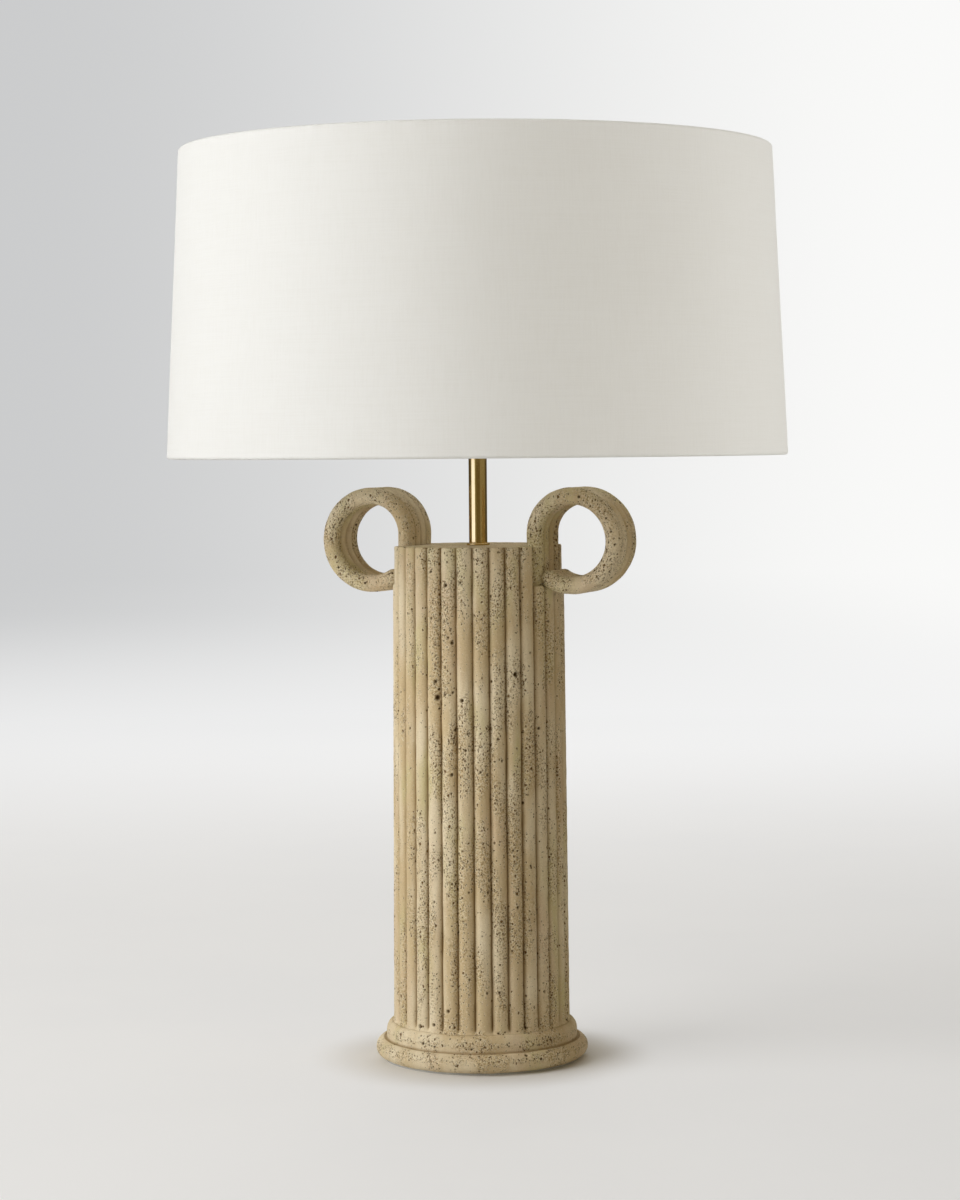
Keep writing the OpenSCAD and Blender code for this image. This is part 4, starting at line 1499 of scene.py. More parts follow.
@dataclass
class Plinth:
    """The round foot: a half-round bead with a straighter moulding on it."""

    bead_x: float = 79.85
    bead_r: float = 7.75
    upper_r: float = 78.8
    shoulder_w: float = 5.6
    shoulder_h: float = 8.7
    hollow_r: float = 62.0
    deck: float = 11.0
    deck_radii: tuple[float, ...] = (70.0, 60.0, 40.0, 20.0, 6.0)
    under_radii: tuple[float, ...] = (6.0, 30.0)
    foot_radii: tuple[float, ...] = (68.0, 74.0)
    steps: int = 470
    outlet_hole_r: float = 4.4
    outlet_face_r: float = 5.8
    outlet_sunk: float = 2.0
    swell: tuple[Bumps, ...] = (Bumps(0.24, 13, 8.0), Bumps(0.10, 4, 2.5))
    bands: tuple[Band, Band] = (Band(23, 2.6), Band(12, 3.2))
    band_crowd: float = 0.72
    band_mean: float = 0.9
    band_cloud: Bumps = Bumps(0.7, 24, 4.5)
    cloud_stretch: Point3 = (1, 1, 1.6)
    crowd_mean: float = 0.08
    cloud: Bumps = Bumps(0.12, 7, 1.5)
    # How strong and how wide the painted shade is in the crease between the mouldings and at the column's
    # joint.
    crease_shade: float = 0.8
    crease_h: float = 1.0
    crease_reach: float = 2.2
    joint_shade: float = 0.35
    joint_h: float = 0.9
    joint_r: float = 74.5
    pit_count: int = 110
    pit_radii: Point2 = (0.5, 1.0)
    pit_from: Point2 = (74.0, 2.0)
    hole_depth: float = 1.1
    sharp: float = 50.0
    # The larger holes as (angle, height, radius).
    holes: tuple[Point3, ...] = (
        (-43.9, 15.6, 1.7), (-106.3, 22.5, 1.4), (-98, 21, 1.0), (-75, 20.5, 1.0), (-36, 11.5, 1.1),
        (60, 9, 1.6), (130, 22, 1.5), (170, 12, 1.3),
    )

    def __post_init__(self) -> None:
        """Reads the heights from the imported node."""
        low, high = corners_mm("plinth")
        self.low, self.top = low.z, high.z
        self.bead_z = self.low + self.bead_r
        self.ledge = self.bead_z + self.bead_r

    def build(self, carver: Carver) -> Piece:
        """Builds the foot with its cord outlet and pits.

        Args:
            carver: Opens the pits.

        Returns:
            The piece.
        """
        obj = MeshMaker.lathe("stone_plinth", self._outline(), self.steps, closed=True)
        roughen(obj.data, self.swell, self.low + 0.05)
        face_y = corners_mm("cord_bushing")[1].y - self.outlet_sunk
        for radius, start in ((self.outlet_hole_r, self.hollow_r - 5), (self.outlet_face_r, face_y)):
            outline = arc(0, self.bead_z, radius, 0, 352.5, 47)
            combine(obj, prism("outlet", outline, -100, -start, False), Join.DIFFERENCE)
        points = points_of(obj.data)
        shown_r, shown_h = self.pit_from
        shown = (np.hypot(points[:, 0], points[:, 1]) > shown_r) & (points[:, 2] > self.low + shown_h)
        pits = carver.scatter(obj.data, self._crowd(points) * shown, self.pit_count, self.pit_radii)
        pits += [Pit(on_round(a, z, self._reach(z)), r, self.hole_depth * r) for a, z, r in self.holes]
        hollow = carver.carve(obj, pits)
        points = points_of(obj.data)
        weather(obj, self.sharp, hole=hollow, pitting=self._crowd(points), groove=self._groove(points))
        return obj

    def _reach(self, z: float) -> float:
        """Radius of the outer face at a height."""
        if z < self.ledge:
            return self.bead_x + math.sqrt(max(0.0, self.bead_r ** 2 - (z - self.bead_z) ** 2))
        return self.upper_r

    def _outline(self) -> list[Point2]:
        """Draws the foot's section, from the hollow's lower edge outwards.

        Returns:
            Closed outline of (radius, height) points.
        """
        shoulder = [(self.upper_r - self.shoulder_w * (1 - math.cos(a)),
                     self.top - self.shoulder_h * (1 - math.sin(a)))
                    for a in np.radians(np.linspace(0, 90, 13))]
        rise = [(self.upper_r, z) for z in np.linspace(self.ledge + 0.6, self.top - self.shoulder_h, 5)[:-1]]
        deck = [(r, self.top) for r in self.deck_radii]
        under = [(r, self.top - self.deck) for r in (*self.under_radii, self.hollow_r)]
        foot = [(r, self.low) for r in (self.hollow_r, *self.foot_radii)]
        return (foot + arc(self.bead_x, self.bead_z, self.bead_r, -90, 82, 26)
                + [(self.upper_r + 0.5, self.ledge - 0.15)] + rise + shoulder + deck + under)

    def _crowd(self, points: Array) -> Array:
        """Says how crowded with pits the stone is: bands run along both mouldings.

        Args:
            points: Points in millimetres.

        Returns:
            A value for each, from 0 to 1.
        """
        upper, lower = self.bands
        band = np.maximum(upper.at(points[:, 2]), lower.at(points[:, 2]))
        cloud = self.band_mean + self.band_cloud.at(points * np.array(self.cloud_stretch))
        return np.clip(self.crowd_mean + self.band_crowd * band * cloud + self.cloud.at(points), 0, 1)

    def _groove(self, points: Array) -> Array:
        """Says how near points lie to the crease between the mouldings or to the column's joint, for the
        painted shade there.

        Args:
            points: Points in millimetres.

        Returns:
            A value for each, from 0 to 1.
        """
        radial = np.hypot(points[:, 0], points[:, 1])
        crease = Band(self.ledge, self.crease_h).at(points[:, 2])
        joint = Band(self.top, self.joint_h).at(points[:, 2]) * (radial < self.joint_r)
        beside = radial < self.upper_r + self.crease_reach
        return np.clip(self.crease_shade * crease * beside + self.joint_shade * joint, 0, 1)


# Metal parts


@dataclass
class Stem:
    """The check ring under the brass tube, the tube and its cap."""

    tube_r: float = 7.5
    wall: float = 1.0
    tube_edge: float = 0.3
    ring_bore_r: float = 4.9
    ring_edge: float = 0.55
    cap_bore_r: float = 5.3
    cap_edge: float = 0.7
    steps: int = 128

    def build(self, finishes: Finishes) -> None:
        """Builds the three turned pieces.

        Args:
            finishes: The lamp's materials.
        """
        ring_low, ring_high = corners_mm("check_ring")
        tube_low, tube_high = corners_mm("stem_tube")
        cap_high = corners_mm("stem_cap")[1]
        ring = ring_outline(self.ring_bore_r, ring_high.x, ring_low.z, tube_low.z, self.ring_edge)
        edge = self.tube_edge
        tube = ring_outline(self.tube_r - self.wall, self.tube_r, tube_low.z, tube_high.z, edge)
        # Two more rings near the ends, so that the rounded edges don't bend the light along the tube.
        first = len(tube) // 2
        tube[first:first] = [(self.tube_r, tube_low.z + 3 * edge), (self.tube_r, tube_high.z - 3 * edge)]
        cap = ring_outline(self.cap_bore_r, cap_high.x, tube_high.z, cap_high.z, self.cap_edge)
        for node, name, outline, coat in (("check_ring", "check_ring_turned", ring, finishes.brass),
                                          ("stem_tube", "stem_tube_drawn", tube, finishes.drawn_brass),
                                          ("stem_cap", "stem_cap_turned", cap, finishes.brass)):
            dress(MeshMaker.lathe(name, outline, self.steps, closed=True), coat, Body.LAMP, [node])


@dataclass
class Harp:
    """The bowed wire with its sliding ferrules and the threaded stud above it."""

    foot_x: float = 29.0
    wire_r: float = 2.3
    post_h: float = 14.0
    leg: float = 32.0
    flare_r: float = 30.0
    lean: float = 14.0
    flat: float = 8.0
    height: float = 214.0
    thread_pitch: float = 0.9
    thread_depth: float = 0.35
    ferrule_fit: float = 0.08
    ferrule_wall_in: float = 0.25
    ferrule_bead_r: float = 0.45
    ferrule_bead_h: float = 4.0

    def build(self, finishes: Finishes) -> None:
        """Builds the wire, the ferrules and the stud.

        Args:
            finishes: The lamp's materials.
        """
        saddle_top = corners_mm("saddle_nut")[0].z
        wire = MeshMaker.sweep("harp_bow", tube_rings(self._path(saddle_top), self.wire_r, 24))
        dress(wire, finishes.drawn_brass, Body.LAMP, ["harp_wire"])
        for side, body in ((1, Body.RIGHT_FERRULE), (-1, Body.LEFT_FERRULE)):
            dress(self._ferrule(side, body), finishes.brass, body, [body.value])
        dress(self._stud(), finishes.brass, Body.LAMP, ["harp_stud"])

    def _stud(self) -> Piece:
        """Turns the threaded stud.

        Returns:
            The piece.
        """
        low, high = corners_mm("harp_stud")
        radius, pitch = high.x, self.thread_pitch
        outline = [(0.0, low.z), (radius - 0.3, low.z)]
        turns = int((high.z - low.z - 1.2) / pitch)
        for i in range(turns):
            z = low.z + 0.4 + i * pitch
            outline += [(radius - self.thread_depth, z), (radius, z + pitch * 0.45),
                        (radius, z + pitch * 0.55)]
        outline += [(radius - 0.4, high.z - 0.7), (radius - 1.1, high.z), (0.0, high.z)]
        return MeshMaker.lathe("harp_stud_threaded", outline, 64)

    def _path(self, saddle_top: float) -> list[Point3]:
        """Draws the bow, from the right post over the top to the left post.

        Args:
            saddle_top: Height of the saddle's top.

        Returns:
            Its centre line.
        """
        lean = math.radians(self.lean)
        rise = self.height - self.post_h - self.leg - self.flare_r * math.sin(lean)
        inset = self.flat - self.foot_x - self.flare_r * (1 - math.cos(lean))
        crown = (rise - inset / math.tan(lean)) / (math.cos(lean) / math.tan(lean) + 1 + math.sin(lean))
        start = saddle_top + self.post_h
        knee, top = start + self.leg, saddle_top + self.height
        half = [(self.foot_x, z) for z in np.linspace(start, knee, 9)[:-1]]
        half += [(self.foot_x + self.flare_r * (1 - math.cos(a)), knee + self.flare_r * math.sin(a))
                 for a in np.linspace(0, lean, 7)]
        crown_start = (self.flat + crown * math.cos(lean), top - crown * (1 + math.sin(lean)))
        half += [tuple(p) for p in np.linspace(half[-1], crown_start, 22)[1:-1]]
        half += [(self.flat + crown * math.cos(a), top - crown * (1 + math.sin(a)))
                 for a in np.linspace(lean, -math.pi / 2, 34)]
        half += [(self.flat / 2, top)]
        full = half + [(0.0, top)] + [(-x, z) for x, z in reversed(half)]
        return [(x, 0.0, z) for x, z in full]

    def _ferrule(self, side: int, body: Body) -> Piece:
        """Turns a ferrule with two beads and moves it over its leg of the harp.

        Args:
            side: 1 for the right leg and -1 for the left one.
            body: The ferrule's body.

        Returns:
            The piece.
        """
        low, high = corners_mm(body.value)
        inner, outer = self.wire_r + self.ferrule_fit, (high.x - low.x) / 2
        bottom, top = low.z, high.z
        wall = outer - self.ferrule_wall_in
        heights = (bottom + self.ferrule_bead_h, top - self.ferrule_bead_h)
        beads = [p for z in heights for p in arc(wall, z, self.ferrule_bead_r, -60, 60, 6)]
        outline = ([(inner, bottom), (outer - 0.2, bottom), (wall, bottom + 0.3)] + beads
                   + [(wall, top - 0.3), (outer - 0.35, top), (inner, top)])
        obj = MeshMaker.lathe(f"{body.value}_turned", outline, 48, closed=True)
        set_points(obj.data, points_of(obj.data) + np.array([side * self.foot_x, 0.0, 0.0]))
        return obj


@dataclass
class LampSocket:
    """The brass cap and shell and the knob."""

    bore_r: float = 5.3
    neck_r: float = 8.0
    neck_h: float = 5.4
    cove_r: float = 3.0
    shoulder_r: float = 1.4
    shoulder_h: float = 15.6
    bead_r: float = 0.45
    bead_h: float = 19.4
    band_in: float = 0.35
    cap_wall: float = 1.0
    shell_wall: float = 0.6
    shell_beads: Point2 = (13.5, 16.0)
    shell_bead_r: float = 0.42
    lip_r: float = 0.55
    shaft_hole_r: float = 3.2
    knob_flutes: int = 14
    flute_depth: float = 0.9
    fluted_h: float = 1.45

    def build(self, finishes: Finishes) -> None:
        """Builds the cap, the shell and the knob.

        Args:
            finishes: The lamp's materials.
        """
        cap = MeshMaker.lathe("socket_cap_spun", self._cap(), 128, closed=True)
        dress(cap, finishes.brass, Body.LAMP, ["socket_cap"])
        shell = MeshMaker.lathe("socket_shell_spun", self._shell(), 128, closed=True)
        knob_low, knob_high = corners_mm("turn_knob")
        knob_z = (knob_low.z + knob_high.z) / 2
        hole = prism("shaft_hole", arc(0, knob_z, self.shaft_hole_r, 0, 350, 35), 5, 30, False)
        combine(shell, hole, Join.DIFFERENCE)
        MeshMaker.shade(shell)
        dress(shell, finishes.brass, Body.LAMP, ["socket_shell"])
        dress(self._knob(knob_z), finishes.black, Body.KNOB, ["turn_knob"])

    def _cap(self) -> list[Point2]:
        """Draws the cap's section: a neck, a cove, a wide shoulder and a beaded rim.

        Returns:
            Closed outline of (radius, height) points.
        """
        low, high = corners_mm("socket_cap")
        r, neck, foot = high.x, self.neck_r, low.z
        wall, cove_z = r - self.band_in, foot + self.neck_h + 0.5
        bead_z, shoulder_z = foot + self.bead_h, foot + self.shoulder_h
        cap = [(self.bore_r, foot), (neck - 0.5, foot), (neck, foot + 0.5), (neck, foot + self.neck_h)]
        cap += arc(neck + self.cove_r, cove_z, self.cove_r, 170, 130, 4)
        cap += [(r - 1.6, shoulder_z - 1.2)]
        cap += arc(r - self.shoulder_r, shoulder_z, self.shoulder_r, -50, 0, 4)
        cap += [(wall, bead_z - 0.8)] + arc(r - self.bead_r, bead_z, self.bead_r, -60, 60, 5)
        cap += [(wall, bead_z + 0.8), (wall, high.z - 0.6)] + arc(r - 0.5, high.z - 0.4, 0.5, -20, 90, 4)
        return cap + [(r - self.cap_wall, high.z), (r - self.cap_wall, foot + 16),
                      (neck - self.cap_wall, foot + 7), (self.bore_r, foot + 7)]

    def _shell(self) -> list[Point2]:
        """Draws the shell's section, with two beads and a rolled lip.

        Returns:
            Closed outline of (radius, height) points.
        """
        low, high = corners_mm("socket_shell")
        outer, inner = high.x, high.x - self.shell_wall
        shell = [(inner, low.z), (outer, low.z)]
        for height in self.shell_beads:
            shell += arc(outer - 0.12, low.z + height, self.shell_bead_r, -70, 70, 6)
        shell += [(outer, high.z - 1.4)]
        return shell + arc(outer - self.lip_r, high.z - self.lip_r, self.lip_r, 0, 180, 8)

    def _knob(self, knob_z: float) -> Piece:
        """Makes the fluted knob, turned about its shaft towards the front.

        Args:
            knob_z: Height of its shaft.

        Returns:
            The piece.
        """
        low, high = corners_mm("turn_knob")
        radius, back, front = high.x, high.y, low.y
        stations = [(back, 0.90), (back - 0.3, 0.99), (back - 1.4, 1.0), (back - 1.5, 1.0),
                    (back - 1.9, 1.0), (front + 1.2, 1.0), (front + 0.6, 0.97), (front + 0.2, 0.90),
                    (front, 0.80), (front, 0.30), (front, 0.05)]
        turn = np.linspace(0, 2 * math.pi, self.knob_flutes * 12 + 1)[:-1]
        flutes = self.flute_depth * np.clip(np.cos(turn * self.knob_flutes) - 0.25, 0, 1)
        rings = []
        for y, share in stations:
            r = (radius - (flutes if y < back - self.fluted_h else 0)) * share
            level = np.full(len(turn), y)
            rings.append(np.column_stack([r * np.cos(turn), level, knob_z + r * np.sin(turn)]))
        return MeshMaker.sweep("turn_knob_fluted", rings)


@dataclass
class Bulb:
    """The frosted globe."""

    globe_r: float = 30.0
    neck_r: float = 12.4
    joint_angle: float = -38.0
    neck_pull: float = 13.0
    globe_pull: float = 12.0

    def build(self, finishes: Finishes) -> None:
        """Builds the globe with a neck that runs smoothly into it.

        Args:
            finishes: The lamp's materials.
        """
        high = corners_mm("bulb_globe")[1]
        middle = high.z - self.globe_r
        neck_top = corners_mm("bulb_screw_cap")[1].z
        outline = [(self.neck_r, neck_top - 3), (self.neck_r, neck_top)]
        start = np.array([self.neck_r, neck_top])
        joint_a = math.radians(self.joint_angle)
        end = np.array([self.globe_r * math.cos(joint_a), middle + self.globe_r * math.sin(joint_a)])
        lead = np.array([0.0, self.neck_pull])
        tail = self.globe_pull * np.array([-math.sin(joint_a), math.cos(joint_a)])
        for t in np.linspace(0, 1, 15)[1:-1]:
            curve = ((1 - t) ** 3 * start + 3 * (1 - t) ** 2 * t * (start + lead)
                     + 3 * (1 - t) * t ** 2 * (end - tail) + t ** 3 * end)
            outline.append(tuple(curve))
        outline += arc(0, middle, self.globe_r, self.joint_angle, 90, 40)
        outline[-1] = (0.0, high.z)
        obj = MeshMaker.lathe("frosted_globe", outline, 128)
        dress(obj, finishes.glass, Body.BULB, ["bulb_globe"])


@dataclass
class Finial:
    """The turned brass finial."""

    bore_r: float = 3.3
    foot_r: float = 7.6
    foot_h: float = 2.4
    cove_r: float = 2.5
    neck_r: float = 5.0
    collar_r: float = 0.75
    collar_z: float = 7.3
    ball_r: float = 7.8
    ball_z: float = 15.5

    def build(self, finishes: Finishes) -> None:
        """Builds the foot, the cove, the collar and the ball.

        Args:
            finishes: The lamp's materials.
        """
        base = corners_mm("finial")[0].z
        outline = [(0.0, 11.0), (self.bore_r, 10.4), (self.bore_r, 0.0), (self.foot_r - 0.5, 0.0)]
        outline += arc(self.foot_r - 0.6, 0.6, 0.6, -80, 0, 4)
        outline += arc(self.foot_r - 0.8, self.foot_h - 0.8, 0.8, 0, 80, 5)
        outline += arc(self.foot_r - 0.2, self.foot_h + 2.6, self.cove_r, 250, 190, 8)
        outline += arc(self.neck_r - 0.2, self.collar_z, self.collar_r, -80, 80, 7)
        outline += arc(0, self.ball_z, self.ball_r, -50, 90, 34)
        outline[-1] = (0.0, self.ball_z + self.ball_r)
        obj = MeshMaker.lathe("finial_turned", [(r, base + z) for r, z in outline], 128)
        dress(obj, finishes.brass, Body.FINIAL, ["finial"])


# Shade


@dataclass
class DrumShade:
    """The tapered drum: cloth rolled over two wire rings, a styrene liner and the spider."""

    bottom_r: float = 254.0
    top_r: float = 241.5
    roll_r: float = 2.45
    cloth: float = 0.7
    hem: float = 11.0
    hem_in: float = 1.2
    lap_angle: float = 68.0
    lap_w: float = 11.0
    lap_t: float = 0.45
    lap_rise: float = 1.2
    slack_r: float = 240.0
    slack: Bumps = Bumps(0.22, 95, 12.0)
    ripple: Bumps = Bumps(0.05, 16, 3.0)
    hem_slack: float = 0.35
    liner_in: float = 0.9
    liner_t: float = 0.7
    hub_hole_r: float = 3.25
    hub_edge: float = 0.35
    arm_r: float = 1.8
    arm_start: float = 8.0
    arm_end_in: float = 1.65
    arm_power: float = 1.02
    steps: int = 420

    def __post_init__(self) -> None:
        """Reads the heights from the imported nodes."""
        self.low = corners_mm("bottom_rolled_edge")[0].z
        self.top = corners_mm("top_rolled_edge")[1].z
        self.slope = (self.top_r - self.bottom_r) / (self.top - self.low)
        self.lap_edge = math.radians(self.lap_angle)
        self.lap_turn = self.lap_w / self.bottom_r

    def build(self, finishes: Finishes) -> tuple[Piece, Piece]:
        """Builds the cloth, the liner and the spider.

        Args:
            finishes: The lamp's materials.

        Returns:
            The cloth and the liner.
        """
        cloth = self._cloth()
        dress(cloth, finishes.linen, Body.SHADE, ["shade_cover", "top_rolled_edge", "bottom_rolled_edge"])
        liner = self._liner()
        dress(liner, finishes.styrene, Body.SHADE, ["shade_liner"])
        dress(self._spider(), finishes.zinc, Body.SHADE, ["spider_hub", "spider_arms"])
        return cloth, liner

    def _radius(self, z: float) -> float:
        """Radius of the shade's outer face at a height."""
        return self.bottom_r + self.slope * (z - self.low)

    def _wall(self) -> list[Point2]:
        """Draws the cloth's outer face, from the lower hem over both rims to the upper hem.

        Returns:
            Points of (radius, height).
        """
        r = self.roll_r
        low_z, high_z = self.low + r, self.top - r
        low_x, high_x = self._radius(low_z) - r, self._radius(high_z) - r
        inner = self.hem + r
        line, upper = ([(self._radius(z) - 2 * r + self.hem_in, z)] for z in (low_z + inner, high_z - inner))
        line += [(low_x - r + 0.5, low_z + 5.0)] + arc(low_x, low_z, r, 170, 372, 22)
        line += [(self._radius(z) - 0.3 * math.exp(-(z - low_z) / 6), z)
                 for z in np.linspace(low_z + 4, high_z - 4, 46)]
        return line + arc(high_x, high_z, r, -12, 190, 22) + [(high_x - r + 0.5, high_z - 5.0)] + upper

    def _cloth(self) -> Piece:
        """Makes the cloth as a thin closed shell with a lapped seam at the back.

        Returns:
            The piece.
        """
        angles = self._angles()
        seam = self._seam(angles)
        rings = []
        for r, z in self._wall():
            level = np.full(len(angles), z)
            flat = np.column_stack([np.cos(angles) * self.slack_r, np.sin(angles) * self.slack_r, level])
            on_wall = self.low + 6 < z < self.top - 6 and r > self._radius(z) - 1
            slack = (1.0 if on_wall else self.hem_slack) * self.slack.at(flat) + self.ripple.at(flat)
            out = r + slack + seam * (1.0 if r > self._radius(z) - 2.6 else 0.0)
            rings.append(np.column_stack([out * np.cos(angles), out * np.sin(angles), level]))
        return self._shell("shade_cloth", rings)

    def _angles(self) -> Array:
        """Spreads the angles around the shade, closer together at the seam's edge.

        Returns:
            The angles in radians.
        """
        even = np.linspace(0, 2 * math.pi, self.steps + 1)[:-1]
        close = self.lap_edge + np.array([-0.0006, -0.0002, 0.0002, 0.0006]) * 2
        kept = even[np.min(np.abs(even[:, None] - close[None, :]), axis=1) > 0.004]
        return np.sort(np.concatenate([kept, close, [self.lap_edge - self.lap_turn]]))

    def _seam(self, angles: Array) -> Array:
        """Raises the cloth over the lap.

        Args:
            angles: Angles around the shade.

        Returns:
            How far the lap lifts the cloth at each.
        """
        rise_w = self.lap_rise * self.lap_turn
        rise = np.clip((angles - (self.lap_edge - (1 + self.lap_rise) * self.lap_turn)) / rise_w, 0, 1)
        rise = rise * rise * (3 - 2 * rise)
        return np.where(angles < self.lap_edge, rise * self.lap_t, 0.0)

    def _shell(self, name: str, rings: Sequence[Array]) -> Piece:
        """Gives rings around the axis a thickness inwards and closes them into a shell.

        Args:
            name: Name of the piece.
            rings: Rings of points of the outer face.

        Returns:
            The piece.
        """
        outer = np.stack(rings)
        line = np.column_stack([np.hypot(outer[:, 0, 0], outer[:, 0, 1]), outer[:, 0, 2]])
        ahead = np.gradient(line, axis=0)
        ahead /= np.linalg.norm(ahead, axis=1)[:, None]
        inward = np.column_stack([-ahead[:, 1], ahead[:, 0]])
        turn = np.arctan2(outer[:, :, 1], outer[:, :, 0])
        inner = outer.copy()
        inner[:, :, 0] += self.cloth * inward[:, 0:1] * np.cos(turn)
        inner[:, :, 1] += self.cloth * inward[:, 0:1] * np.sin(turn)
        inner[:, :, 2] += self.cloth * inward[:, 1:2]
        loops = list(outer) + list(inner[::-1])
        faces = ring_faces(len(loops), len(rings[0]), closed=True)
        return MeshMaker.piece(name, np.vstack(loops), faces, 60)

    def _liner(self) -> Piece:
        """Makes the styrene liner, a thin ring that ends behind the hems.

        Returns:
            The piece.
        """
        low, high = self.low + 2 * self.roll_r, self.top - 2 * self.roll_r
        levels = np.linspace(low, high, 14)
        outline = [(self._radius(z) - self.liner_in, z) for z in levels]
        outline += [(self._radius(z) - self.liner_in - self.liner_t, z) for z in levels[::-1]]
        return MeshMaker.lathe("styrene_liner", outline, 360, closed=True)

    def _spider(self) -> Piece:
        """Makes the pressed hub with three wire arms that reach the upper ring.

        Returns:
            The piece.
        """
        low, high = corners_mm("spider_hub")
        hub_mid = (low.z + high.z) / 2
        outline = ring_outline(self.hub_hole_r, high.x, low.z, high.z, self.hub_edge)
        hub = MeshMaker.lathe("shade_spider", outline, 96, closed=True)
        ring_z = self.top - self.roll_r
        rise = ring_z - hub_mid
        start, reach = self.arm_start, self._radius(ring_z) - self.roll_r - self.arm_end_in
        bm = bmesh.new()
        bm.from_mesh(hub.data)
        for i in range(3):
            a = math.radians(90 + 120 * i)
            path = [(s, hub_mid + rise * max(0.0, (s - start) / (reach - start)) ** self.arm_power)
                    for s in np.linspace(start, reach, 40)]
            line = [(s * math.cos(a), s * math.sin(a), z) for s, z in path]
            arm = MeshMaker.sweep("arm", tube_rings(line, self.arm_r, 16))
            bm.from_mesh(arm.data)
            bpy.data.objects.remove(arm)
        bm.to_mesh(hub.data)
        bm.free()
        MeshMaker.shade(hub)
        return hub


# What stays as imported


class CarriedNodes:
    """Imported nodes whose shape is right, given their finishes."""

    def __init__(self, finishes: Finishes) -> None:
        """Lists the nodes under their finishes.

        Args:
            finishes: The lamp's materials.
        """
        self.rows: tuple[tuple[Coat, list[str]], ...] = (
            (finishes.felt, ["felt_pad"]),
            (finishes.black, ["cord_bushing", "socket_body", "bulb_insulator"]),
            (finishes.steel, ["ballast_plate", "cap_set_screw", "knob_shaft"]),
            (finishes.zinc, ["lock_washer", "foot_nut", "threaded_pipe", "neutral_terminal_screw",
                             "top_wire_ring", "bottom_wire_ring", "bulb_screw_cap", "bulb_contact"]),
            (finishes.brass, ["harp_saddle", "saddle_nut", "screw_shell", "centre_contact",
                              "live_terminal_screw", "harp_top_plate"]),
            (finishes.paper, ["shell_insulator"]),
        )

    def build(self) -> None:
        """Assigns each node's finish."""
        for coat, nodes in self.rows:
            for node in nodes:
                dress(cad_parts[node], coat)


# Studio


@dataclass(frozen=True)
class SoftLight:
    """A square soft light: its place, what it points at and its side in metres, its power in watts."""

    name: str
    place: Point3
    aim: Point3
    size: float
    power: float
    glossy: bool = False
    colour: Point3 = (1.0, 1.0, 1.0)

    def stand(self) -> Piece:
        """Puts the light in the scene.

        Returns:
            The light.
        """
        data = bpy.data.lights.new(self.name, "AREA")
        data.size = self.size
        data.energy = self.power
        data.color = self.colour
        light = bpy.data.objects.new(self.name, data)
        light.location = self.place
        light.rotation_mode = "QUATERNION"
        light.rotation_quaternion = (Vector(self.aim) - Vector(self.place)).to_track_quat("-Z", "Y")
        light.visible_glossy = self.glossy
        bpy.context.scene.collection.objects.link(light)
        return light


@dataclass(frozen=True)
class Card:
    """A curved card round the lamp that shows only as a reflection in gloss.

    start and end are angles from the camera in degrees, positive to the right, and glow is its
    colour and how light it is.
    """

    name: str
    start: float
    end: float
    glow: Point3


